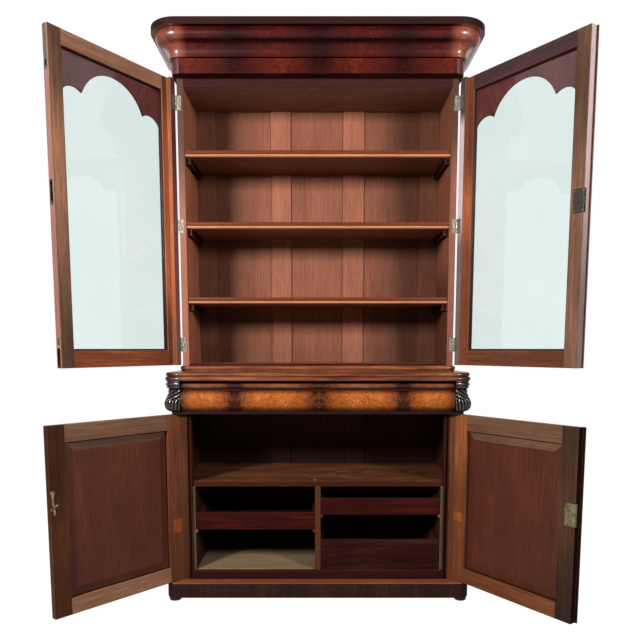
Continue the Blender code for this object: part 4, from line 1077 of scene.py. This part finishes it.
class BOOKCASE_OT_cupboard(Operator):
    """Sides, floor, rails, shelf, divider and linings of the cupboard"""

    bl_idname = "bookcase.cupboard"
    bl_label = "Cupboard"

    def execute(self, context):
        wear = sizes().edge_wear
        dark = wood("oiled_cupboard_mahogany_x", "panel", 'X', 0.55, 0.12, tone=0.7)
        upright = wood("oiled_cupboard_mahogany_z", "panel", 'Z', 0.6, 0.1, tone=0.45)
        red = wood("red_cupboard_front", "tray", 'X', 0.42, 0.12, tone=0.75)
        red_post = wood("red_cupboard_post", "tray", 'Z', 0.5, 0.04, tone=0.2)
        lit_edge = wood("lit_divider_edge", "divider", 'Z', 0.5, 0.12)
        sheet_edge = 0.0098
        for side in (LEFT, RIGHT):
            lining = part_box(f"{SIDE_NAMES[side]}_lining")
            face = min(abs(lining[0].x), abs(lining[1].x)) + sheet_edge

            def side_part(middle, normal):
                return 0 if side * normal.x > 0.7 else (2 if normal.y < -0.3 else 1)

            def lining_part(middle, normal):
                return 1 if normal.y < -0.5 and abs(middle.x) > face else 0

            worn(f"cupboard_{SIDE_NAMES[side]}_side", (polished(), upright, red_post, polished()), wear,
                 side_part)
            worn(f"{SIDE_NAMES[side]}_lining", (upright, pine('Y', 0.24), upright), 0.0006, lining_part)
        worn("cupboard_floor", (dark, red), wear, front_second)
        worn("head_rail", (carved(0.5, "_rail"), carved(0.5, "_rail")), 0.0008)
        shelf = wood("worn_shelf_mahogany", "worn", 'X', 0.6, 0.12, 0.0, 0.008, 0.8, scuffs=0.35)
        shelf_edge = wood("brown_shelf_edge", "shelf", 'X', 0.5, 0.06, tone=0.33)
        worn("inner_shelf", (shelf, shelf_edge, rubbed('X', 0.22, "_inner")), wear, front_second)
        worn("centre_divider", (upright, lit_edge, lit_edge), wear,
             lambda middle, normal: 1 if normal.y < -0.5 and abs(middle.x) < 0.0115 else 0)
        floor_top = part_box("cupboard_floor")[1].z
        low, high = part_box("left_lining")
        sheet = block("left_bay_floor_sheet", (high.x - sheet_edge, low.y + 0.010, floor_top + 0.0001),
                      (-0.0125, high.y - 0.001, floor_top + 0.0035))
        settle(soften(give(sheet, pine('X', 0.42, "_sheet")), 0.0012), "case", "pine")
        return {'FINISHED'}


class BOOKCASE_OT_trays(Operator):
    """Two sliding trays and the deep drawer"""

    bl_idname = "bookcase.trays"
    bl_label = "Trays and deep drawer"

    def execute(self, context):
        red = wood("red_tray_mahogany", "tray", 'X', 0.5, 0.05, 0.0, 0.008, 0.9)
        deep = wood("brown_drawer_mahogany", "drawer", 'X', 0.5, 0.05, 0.0, 0.010, 1.0)
        dull = wood("tray_inside_mahogany", "panel", 'Y', 0.6, 0.1, tone=0.5)
        for node in ("left_tray", "right_tray", "deep_drawer"):
            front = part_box(node)[0].y + 0.001
            worn(node, (dull, deep if node == "deep_drawer" else red,
                        wood("tray_rubbed_edge", "tray", 'X', 0.5, 0.12, tone=1.2)), 0.0012,
                 lambda middle, normal, front=front: 1 if middle.y < front else 0)
        return {'FINISHED'}


# Woods of a door's parts: name, run of the grain, roughness, specular, coat, width of a streak and contrast.
# Under them, for each side, their colours and tones, and their darkening as (start, stop, least share) of
# heights.
UPPER_PARTS = (("hanging_stile_mahogany", 'Z', 0.42, 0.25, 0.1, 0.009, 0.6),
               ("meeting_stile_mahogany", 'Z', 0.45, 0.2, 0.0, 0.010, 0.6),
               ("top_rail_mahogany", 'X', 0.45, 0.15, 0.0, 0.010, 0.55),
               ("bottom_rail_mahogany", 'X', 0.45, 0.15, 0.0, 0.010, 0.55),
               ("stile_back_mahogany", 'Z', 0.45, 0.2, 0.0, 0.006, 0.5),
               ("lit_meeting_edge", 'Z', 0.5, 0.2, 0.0, 0.006, 0.5))
# Upper doors: the stiles are lightest in a band at mid height, a painted sheen, and darker towards the top,
# painted shade. The left stile back darkens towards the top, painted shade; the right stile back and the
# right meeting edge are pinkish white, a painted highlight.
UPPER_TONES = {
    LEFT: (("upper", 1.7, ((1.88, 2.14, 0.38), (1.42, 1.12, 0.34))),
           ("rail", 1.9, ((1.78, 2.10, 0.40), (1.62, 1.12, 0.34))),
           ("rail", 1.9, ()), ("upper", 1.1, ()),
           ("back_edge", 2.2, ((1.55, 1.95, 0.42),)), ("salmon", 0.85, ())),
    RIGHT: (("upper", 1.45, ((1.68, 1.92, 0.38), (1.60, 1.48, 0.60))),
            ("rail", 1.1, ((1.55, 1.95, 0.60),)),
            ("smoky", 0.74, ()), ("meeting", 0.95, ()),
            ("blush", 1.3, ((2.00, 2.08, 0.10), (1.66, 1.50, 0.28))), ("blush", 1.0, ((1.95, 1.15, 0.35),))),
}
LOWER_PARTS = (("hanging_stile_mahogany", 'Z', 0.5, 0.15, 0.0, 0.008, 0.5),
               ("meeting_stile_mahogany", 'Z', 0.5, 0.1, 0.0, 0.012, 0.5),
               ("top_rail_mahogany", 'X', 0.5, 0.15, 0.0, 0.008, 0.5),
               ("bottom_rail_mahogany", 'X', 0.5, 0.15, 0.0, 0.008, 0.5),
               ("hinge_edge_mahogany", 'Z', 0.5, 0.1, 0.0, 0.006, 0.5),
               ("fielded_panel_mahogany", 'Z', 0.5, 0.15, 0.0, 0.004, 0.3),
               ("panel_border_mahogany", 'Z', 0.5, 0.15, 0.0, 0.004, 0.3),
               ("lit_panel_border", 'X', 0.5, 0.15, 0.0, 0.006, 0.4),
               ("let_in_patch", 'Z', 0.5, 0.2, 0.0, 0.006, 0.5))
# Lower doors: the stiles darken towards the top or the bottom. The hinge edges are darkened, painted shade on
# their rounding, and the top panel border is lighter, a painted highlight.
LOWER_TONES = {
    LEFT: (("lower", 1.05, ((0.77, 0.66, 0.65),)), ("lower", 0.50, ((0.30, 0.62, 0.58),)),
           ("rail", 0.95, ()), ("rail", 1.6, ()), ("lower", 0.3675, ()),
           ("panel", 1.0, ()), ("panel", 0.86, ()), ("rail", 0.6, ()), ("flame", 0.7, ())),
    RIGHT: (("lower", 1.8, ((0.74, 0.46, 0.58),)), ("rail", 0.38, ((0.50, 0.20, 0.60),)),
            ("rail", 0.95, ()), ("lower", 1.05, ()), ("lower", 0.63, ()),
            ("panel", 1.0, ()), ("panel", 0.95, ()), ("rail", 0.85, ()), ("flame", 1.0, ())),
}


def door_woods(door, parts, tones):
    """The finishes of a door's parts; the grain of the rails follows the hung door."""
    return [wood(f"{part}_{door.name}", kind, grain, *values, tone, door.turn if grain == 'X' else 0.0,
                 edges=height_darkening)
            for (part, grain, *values), (kind, tone, height_darkening) in zip(parts, tones[door.side])]


class BOOKCASE_OT_upper_doors(Operator):
    """Glazed upper doors: framed, with a cusped arch panel, glass and glazing beads"""

    bl_idname = "bookcase.upper_doors"
    bl_label = "Upper doors"

    def execute(self, context):
        # The rubbed arris is lighter on the left door, a painted highlight
        for side, arris_highlight_tone, rim_depth in ((LEFT, 0.45, 0.001), (RIGHT, 0.28, 0.0082)):
            door = UPPER[side]
            pane = door.span(f"{door.name}_glass")
            near, far, bottom, top = pane[0].x - SEAT, pane[1].x + SEAT, pane[0].z - SEAT, pane[1].z + SEAT
            free, middle_z = door.span(f"{door.name}_frame")[1].x, (bottom + top) / 2
            hanging, meeting, top_rail, bottom_rail, back, rim = door_woods(door, UPPER_PARTS, UPPER_TONES)

            def number_for(middle, normal):
                reach, depth, z = door.local(middle)
                outward = door.inverse.to_3x3() @ normal
                if outward.y < -0.3 or reach < 0.03 and depth < -0.004:
                    return 4
                # The right door's meeting edge takes a pinkish-white painted highlight, with a strip of
                # painted shade beside it
                if reach > free - rim_depth and abs(outward.x) > 0.7 and depth > -0.045:
                    return 6
                if reach > free - 0.0079 and door.side == RIGHT:
                    return 7
                # Back of the hanging stile: painted shade on the left door, a painted highlight on the right
                if reach < near:
                    return 5 if depth > -0.010 else 0
                return 1 if reach > far else (2 if z > middle_z else 3)

            worn(f"{door.name}_frame",
                 (hanging, meeting, top_rail, bottom_rail, polished(), back, rim, painted_shade(1.2),
                  rubbed('Z', arris_highlight_tone, f"_door_{door.name}")),
                 sizes().edge_wear * 1.4, number_for, (door.plane(near), door.plane(far)))
            self.make_spandrel(door, near + SEAT, far - SEAT, top - SEAT)
            give(frame["nodes"][f"{door.name}_glass"], window_glass("cylinder_window_glass"))
            self.make_beads(door, near, far, bottom, top)
        return {'FINISHED'}

    def make_spandrel(self, door, near, far, top):
        low, high = door.span(f"{door.name}_spandrel")
        middle = (near + far) / 2
        spring, cusp, crown, out, lobe = low.z, low.z + 0.026, top - 0.030, 0.149, 0.024
        edge = bow((near, spring), (middle - out, cusp), lobe, 16)
        edge += bow((middle - out, cusp), (middle + out, cusp), crown - cusp, 40)[1:]
        edge += bow((middle + out, cusp), (far, spring), lobe, 16)[1:]
        outline = [(door.x(u), v) for u, v in edge + [(far, top), (near, top)]]
        piece = soften(sawn(f"{door.name}_arch_panel", outline, (low.y, high.y), 'Y'), 0.0016, 3, 40.0)
        give(piece, wood(f"arch_panel_mahogany_{door.name}", "arch", 'Z', 0.36, 0.25, 0.1), polished(),
             by=front_second)
        settle(door.hang(piece), door.name, "carved_mahogany", f"{door.name}_spandrel")

    def make_beads(self, door, near, far, bottom, top):
        width = sizes().bead_width
        back = door.span(f"{door.name}_glass")[1].y + 0.0002
        front = back + 0.006
        strips = []
        for x0, x1, z0, z1, inner_x, inner_z in (
                (near, near + width, bottom, top, near + width, None),
                (far - width, far, bottom, top, far - width, None),
                (near + width, far - width, bottom, bottom + width, None, bottom + width),
                (near + width, far - width, top - width, top, None, top - width)):

            def nose(edge):
                return all(v.co.y > front - 1e-5 and (inner_x is None or abs(v.co.x - door.x(inner_x)) < 1e-5)
                           and (inner_z is None or abs(v.co.z - inner_z) < 1e-5) for v in edge.verts)

            strip = block(f"{door.name}_bead", (door.x(x0), back, z0), (door.x(x1), front, z1))
            strips.append(bevel(strip, nose, width * 0.8, 4))
        beads = give(join(f"{door.name}_glazing_beads", *strips), carved(1.0, "_bead", 0.1, 0.0))
        settle(door.hang(beads), door.name, "polished_mahogany")


class BOOKCASE_OT_lower_doors(Operator):
    """Lower doors with fielded panels and let-in patches on the hanging stiles"""

    bl_idname = "bookcase.lower_doors"
    bl_label = "Lower doors"

    def execute(self, context):
        for side, patch_span in ((LEFT, (-0.008, 0.044, 0.298, 0.356)),
                                 (RIGHT, (-0.019, 0.049, 0.348, 0.387))):
            door = LOWER[side]
            low, high = door.span(f"{door.name}_panel")
            free = door.span(f"{door.name}_frame")[1].x
            near, far, middle_z = low.x - SEAT, high.x + SEAT, (low.z + high.z) / 2
            woods = door_woods(door, LOWER_PARTS, LOWER_TONES)
            hanging, meeting, top_rail, bottom_rail, hinge_edge, field, border, lit_border, let_in = woods

            def number_for(middle, normal):
                reach, depth, z = door.local(middle)
                outward = door.inverse.to_3x3() @ normal
                # The rounded hinge edge takes a darkened wood, painted shade
                if reach < 0.002 and outward.y > -0.7:
                    return 5
                if outward.y < -0.2 or reach < 0 and depth < -0.004:
                    return 4
                if near < reach < far:
                    return 2 if z > middle_z else 3
                # The right door's free edge takes painted shade
                if door.side == RIGHT and reach > free - (0.0082 if abs(outward.x) > 0.7 else 0.0079):
                    return 6
                return 0 if reach < near else 1

            worn(f"{door.name}_frame",
                 (hanging, meeting, top_rail, bottom_rail, polished(), hinge_edge, painted_shade(0.3),
                  rubbed('Z', 0.3, "_lower")),
                 sizes().edge_wear, number_for, (door.plane(near), door.plane(far)))
            self.make_panel(door, low, high, (field, painted_shade(0.6), border, lit_border))
            x0, x1, z0, z1 = patch_span
            patch = block(f"{door.name}_patch", (door.x(x0), -0.003, z0), (door.x(x1), 0.0004, z1))
            give(soften(patch, 0.0006), let_in)
            settle(door.hang(patch), door.name, "polished_mahogany")
        return {'FINISHED'}

    def make_panel(self, door, low, high, finishes):
        """A fielded panel: a quirk along the frame, a sloping border and a field a little proud of it."""
        border, quirk = sizes().panel_border, 0.005
        panel = block(f"{door.name}_fielded_panel", (door.x(low.x), low.y, low.z),
                      (door.x(high.x), high.y - 0.0055, high.z))
        edit(panel, lambda face: face.normal.y > 0.9)
        bpy.ops.mesh.inset(thickness=quirk)
        bpy.ops.mesh.inset(thickness=border - quirk, depth=0.0045)
        bpy.ops.mesh.inset(thickness=0.0006, depth=0.0010)
        bpy.ops.object.mode_set(mode='OBJECT')
        soften(panel, 0.0006, 2, 5.0)
        x0, x1 = sorted((door.x(low.x), door.x(high.x)))

        # The quirk along the frame takes painted shade; the top border takes a lighter wood, a painted
        # highlight
        def number_for(middle, normal):
            inward = min(middle.x - x0, x1 - middle.x, middle.z - low.z, high.z - middle.z)
            if inward < quirk - 0.0004 or inward > border - 0.0004:
                return 1 if inward < quirk - 0.0004 else 0
            return 3 if inward > high.z - middle.z - 0.0001 else 2

        give(panel, *finishes, by=number_for)
        settle(door.hang(panel), door.name, "polished_mahogany", f"{door.name}_panel", angle=4.0)


# A screw head made pointing up is turned by these to point forward or back
FORWARD = Matrix.Rotation(math.pi / 2, 4, 'X')
BACKWARD = Matrix.Rotation(-math.pi / 2, 4, 'X')
SUNK = 0.00085  # How far a hinge screw lies below the faces that meet when a door closes


def make_screw():
    """A countersunk screw head with a slot, lying on z = 0 and pointing up."""
    radius = sizes().screw_radius
    head = soften(round_bar("screw_head", (0.0, 0.0, 0.0), radius, 0.0008, sides=20), 0.00025, 2, 60.0)
    cut(head, "screw_slot", (-2 * radius, -0.00035, 0.0001), (2 * radius, 0.00035, 0.002))
    return give(head, brass())


class BOOKCASE_OT_hinges(Operator):
    """Brass butt hinges with their screws"""

    bl_idname = "bookcase.hinges"
    bl_label = "Butt hinges"

    def execute(self, context):
        screw = give(make_screw(), metal("dark_hinge_screw", "leaf", 0.55))
        leaf = metal("worn_hinge_leaf", "plate", 0.55)
        case_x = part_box("bookcase_right_side")[1].x - 0.0090
        for side in (LEFT, RIGHT):
            door = UPPER[side]
            pivot = door.matrix.translation
            on_case = Matrix.Translation((side * case_x, pivot.y + SUNK, 0.0)) @ FORWARD
            on_door = door.matrix @ Matrix.Translation((door.x(0.0135), -SUNK, 0.0)) @ BACKWARD

            def number_for(middle, normal):
                return 1 if math.hypot(middle.x - pivot.x, middle.y - pivot.y) < 0.0033 else 0

            for number in (1, 2, 3):
                for kind, body, seat in (("case", "case", on_case), ("door", door.name, on_door)):
                    node = f"{SIDE_NAMES[side]}_hinge_{number}_{kind}_leaf"
                    worn(node, (leaf, brass(), leaf), 0.00025, number_for)
                    low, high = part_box(node)
                    heads = [copy_of(screw,
                                     Matrix.Translation((0.0, 0.0, (low.z + high.z) / 2 + step)) @ seat)
                             for step in (-0.021, 0.0, 0.021)]
                    settle(join(f"{node}_screws", *heads), body, "tarnished_brass")
        drop(screw)
        return {'FINISHED'}


class BOOKCASE_OT_fittings(Operator):
    """Locks and their bolts, edge bolts, strike plate, elbow catch and keepers"""

    bl_idname = "bookcase.fittings"
    bl_label = "Locks, bolts and catch"

    def execute(self, context):
        dull = metal("dull_lock_brass", "brass", 0.6, 0.03)
        rubbed_brass = metal("rubbed_catch_brass", "catch", 0.5)
        for node, finish in (("upper_lock", iron()), ("lower_lock", dull), ("upper_lock_bolt", brass()),
                             ("lower_lock_bolt", brass()), ("top_edge_bolt", brass()),
                             ("bottom_edge_bolt", brass()),
                             ("elbow_catch_lever", rubbed_brass)):
            worn(node, (finish, finish), 0.0004)
        screw = make_screw()
        self.make_lock_plate(UPPER[RIGHT], "upper_lock", iron(), screw)
        self.make_lock_plate(LOWER[RIGHT], "lower_lock", dull, screw)
        self.make_catch_plate(LOWER[LEFT], rubbed_brass, screw)
        self.make_edge_fittings(UPPER[LEFT], screw)
        self.make_keepers(screw)
        drop(screw)
        return {'FINISHED'}

    def make_lock_plate(self, door, node, finish, screw):
        """The screwed cap of a cut lock, with the pin of its keyhole."""
        lock = door.span(node)
        z, free, face = (lock[0].z + lock[1].z) / 2, lock[1].x, lock[1].y
        plate = soften(block(f"{node}_cap", (door.x(free - 0.0422), face, z - 0.041),
                             (door.x(free - 0.0008), face + 0.0009, z + 0.041)), 0.0007)
        pin_place = (door.x(free - 0.022), face + 0.0012, z - 0.006)
        pin = soften(round_bar(f"{node}_pin", pin_place, 0.0042, 0.0022, 'Y', 24), 0.0006)
        heads = [copy_of(screw,
                         Matrix.Translation((door.x(free - 0.0215 + dx), face + 0.0010, z + dz)) @ BACKWARD)
                 for dx in (-0.016, 0.016) for dz in (-0.035, 0.035)]
        cap = join(f"{node}_plate", give(plate, finish), give(pin, finish), *heads)
        settle(door.hang(cap), door.name, "lock_steel")

    def make_catch_plate(self, door, finish, screw):
        """Shaped plate of the elbow catch: a round head, a neck and a round foot."""
        low, high = door.span("elbow_catch_plate")
        base, top = low.z, high.z
        middle, half = (low.x + high.x) / 2, (high.x - low.x) / 2
        right = arc((0.0, base + half), half, -90, 40, 10) + [(0.0042, base + 0.022), (0.0042, base + 0.036)]
        right += arc((0.0, top - half), half, -45, 90, 10)
        outline = [(door.x(middle + u), v) for u, v in right + [(-u, v) for u, v in reversed(right[1:-1])]]
        plate = give(soften(sawn("elbow_catch_back", outline, (low.y, high.y), 'Y'), 0.0006), finish)
        heads = [copy_of(screw, Matrix.Translation((door.x(middle), high.y + 0.0001, z)) @ BACKWARD)
                 for z in (top - half, base + 0.030)]
        shaped = join("elbow_catch_shaped_plate", plate, *heads)
        settle(door.hang(shaped), door.name, "tarnished_brass", "elbow_catch_plate")

    def make_edge_fittings(self, door, screw):
        """Strike plate of the lock and thumb slots of the bolts, on the free edge of the left door."""
        whole = door.span(f"{door.name}_frame")
        free, middle = whole[1].x, door.span(f"{door.name}_glass")[0].y
        half, slot_half = 0.0085, 0.0050
        dull = metal("worn_edge_plate", "plate", 0.5)
        turn = Matrix.Rotation(door.side * math.pi / 2, 4, 'Y')
        plates = []
        for name, z0, z1, slot0, slot1, shine in (
                ("strike_plate", 1.594, 1.682, 1.605, 1.671, brass()),
                ("top_bolt_plate", 2.058, whole[1].z - 0.003, 2.070, 2.091, dull),
                ("bottom_bolt_cheek", whole[0].z + 0.003, 1.090, 1.040, 1.079, rubbed('Z'))):
            plate = block(name, (door.x(free - 0.001), middle - half, z0),
                          (door.x(free + 0.0006), middle + half, z1))
            cut(plate, f"{name}_mouth", (door.x(free), middle - slot_half, slot0),
                (door.x(free + 0.004), middle + slot_half, slot1))

            # Faces in a mouth take dark wood, painted shade in the slot
            def in_slot(point, normal):
                along = slot0 - 0.0005 < point.z < slot1 + 0.0005
                return 1 if along and abs(point.y - middle) < slot_half + 0.0001 else 0

            plates.append(give(soften(plate, 0.0003), shine, carved(0.3, "_slot"), by=in_slot))
            for z in (z0 + 0.006, z1 - 0.006):
                plates.append(copy_of(screw, Matrix.Translation((door.x(free + 0.0006), middle, z)) @ turn))
        fitted = join("upper_left_door_edge_plates", *plates)
        settle(door.hang(fitted), door.name, "tarnished_brass")

    def make_keepers(self, screw):
        """Plates that take the bolts: under the frieze, on the base moulding and on the inner shelf."""
        x, y = -0.0325, 0.138
        plates = []
        for name, z, up in (("top_bolt_keeper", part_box("frieze")[0].z, -1),
                            ("bottom_bolt_keeper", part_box("bookcase_base_moulding")[1].z, 1)):
            plate = block(name, (x - 0.014, y - 0.008, z), (x + 0.014, y + 0.008, z + up * 0.0009))
            cut(plate, f"{name}_mouth", (x - 0.006, y - 0.004, z + up * 0.0003),
                (x + 0.006, y + 0.004, z + up * 0.004))
            plates.append(give(soften(plate, 0.0003), metal("dark_keeper", "leaf", 0.55)))
        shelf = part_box("inner_shelf")
        front, top = shelf[0].y, shelf[1].z
        staple = [(0.0005, 0.0), (0.0005, 0.0010), (0.0040, 0.0010), (0.0045, 0.0080), (0.0080, 0.0085),
                  (0.0085, 0.0010), (0.0260, 0.0010), (0.0260, 0.0)]
        keeper = sawn("elbow_keeper", [(front + y, top + z) for y, z in staple], (-0.0185, -0.0035), 'X')
        cut(keeper, "elbow_keeper_mouth", (-0.0160, front + 0.003, top + 0.0011),
            (-0.0060, front + 0.010, top + 0.0056))
        plates.append(give(soften(keeper, 0.0004), brass()))
        plates.append(copy_of(screw, Matrix.Translation((-0.011, front + 0.0205, top + 0.0010))))
        settle(join("bolt_keepers", *plates), "case", "tarnished_brass")


# The photo's camera: pixels of a picture 640 wide, millimetres of film, metres and degrees
PICTURE = 640
FOCAL_LENGTH = 659.02
OPTICAL_AXIS = (317.82, 425)
FILM = 36
CAMERA_AWAY = 2.8892
CAMERA_HEIGHT = 1.0806
CAMERA_DIP = 6.666
# Lamps: name, place and power in watts
LAMPS = (("softbox_left", (-2.2, -2.7, 2.30), 200.0), ("softbox_right", (2.3, -2.6, 2.30), 125.0))
LAMP_SIZE = (0.5, 0.7)
LAMP_AIM = (0.0, 0.1, 1.40)


class BOOKCASE_OT_stage(Operator):
    """White studio floor, soft lamps and the camera"""

    bl_idname = "bookcase.stage"
    bl_label = "Stage"

    def execute(self, context):
        scene = context.scene
        scene.view_settings.view_transform = 'Standard'
        start_clean()
        bpy.ops.mesh.primitive_plane_add(size=14.0)
        floor = give(name_new("studio_floor"), studio_paper("white_studio_paper"))
        self.make_world(scene)
        for name, place, power in LAMPS:
            start_clean()
            direction = Vector(LAMP_AIM) - Vector(place)
            bpy.ops.object.light_add(type='AREA', location=place,
                                     rotation=direction.to_track_quat('-Z', 'Y').to_euler())
            lamp = context.object
            lamp.name = lamp.data.name = name
            lamp.data.shape = 'RECTANGLE'
            lamp.data.size, lamp.data.size_y = LAMP_SIZE
            lamp.data.energy = power
        start_clean()
        bpy.ops.object.camera_add(location=(0.0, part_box("frieze")[0].y - CAMERA_AWAY, CAMERA_HEIGHT),
                                  rotation=(math.radians(90 - CAMERA_DIP), 0.0, 0.0))
        camera = context.object
        camera.name = camera.data.name = "studio_camera"
        camera.data.lens = FOCAL_LENGTH / PICTURE * FILM
        camera.data.shift_x = (PICTURE / 2 - OPTICAL_AXIS[0]) / PICTURE
        camera.data.shift_y = (OPTICAL_AXIS[1] - PICTURE / 2) / PICTURE
        scene.camera = camera
        return {'FINISHED'}

    def make_world(self, scene):
        """Plain white to the camera, through glass and as what shines behind the case, dim as a light."""
        scene.world = scene.world or bpy.data.worlds.new("studio")
        tree = empty_tree(scene.world)
        path = add(tree, "LightPath", {}).outputs
        place = add(tree, "TexCoord", {}).outputs["Generated"]
        depth = add(tree, "SeparateXYZ", {0: place}).outputs["Y"]
        behind = add(tree, "MapRange", {"Value": depth, 1: 0.3, 2: 0.8, 3: 0.0, 4: 1.0})
        shiny = add(tree, "Math", {0: path["Is Glossy Ray"], 1: behind}, operation='MULTIPLY')
        seen = add(tree, "Math", {0: path["Is Camera Ray"], 1: path["Is Transmission Ray"]},
                   operation='MAXIMUM')
        seen = add(tree, "Math", {0: seen, 1: shiny}, operation='MAXIMUM')
        dim = add(tree, "MapRange", {"Value": path["Is Glossy Ray"], 3: 0.10, 4: 0.05})
        soft = add(tree, "Background", {"Color": (1.0, 1.0, 1.0, 1.0), "Strength": dim})
        white = add(tree, "Background", {"Color": (1.0, 1.0, 1.0, 1.0), "Strength": 1.0})
        mixed = add(tree, "MixShader", {0: seen, 1: soft, 2: white})
        add(tree, "OutputWorld", {"Surface": mixed})


OPERATORS = (BOOKCASE_OT_cornice, BOOKCASE_OT_upper_case, BOOKCASE_OT_shelves, BOOKCASE_OT_waist,
             BOOKCASE_OT_frieze_drawer, BOOKCASE_OT_corbels, BOOKCASE_OT_plinth, BOOKCASE_OT_cupboard,
             BOOKCASE_OT_trays, BOOKCASE_OT_upper_doors, BOOKCASE_OT_lower_doors, BOOKCASE_OT_hinges,
             BOOKCASE_OT_fittings, BOOKCASE_OT_stage)


class BOOKCASE_PT_panel(Panel):
    """Lists the operators and the values of the bookcase"""

    bl_idname = "BOOKCASE_PT_panel"
    bl_label = "Bookcase on cupboard"
    bl_space_type = 'VIEW_3D'
    bl_region_type = 'UI'
    bl_category = "Bookcase"

    def draw(self, context):
        for operator in OPERATORS:
            self.layout.operator(operator.bl_idname)
        for group in (context.scene.bookcase_sizes, context.scene.bookcase_finishes):
            box = self.layout.box()
            for name in group.__annotations__:
                box.prop(group, name)


CLASSES = (BOOKCASE_PG_sizes, BOOKCASE_PG_finishes, *OPERATORS, BOOKCASE_PT_panel)


def register():
    for entry in CLASSES:
        bpy.utils.register_class(entry)
    bpy.types.Scene.bookcase_sizes = PointerProperty(type=BOOKCASE_PG_sizes)
    bpy.types.Scene.bookcase_finishes = PointerProperty(type=BOOKCASE_PG_finishes)


def unregister():
    del bpy.types.Scene.bookcase_finishes
    del bpy.types.Scene.bookcase_sizes
    for entry in reversed(CLASSES):
        bpy.utils.unregister_class(entry)


def main():
    register()
    for operator in OPERATORS:
        group, name = operator.bl_idname.split(".")
        getattr(getattr(bpy.ops, group), name)()


if __name__ == "__main__":
    main()
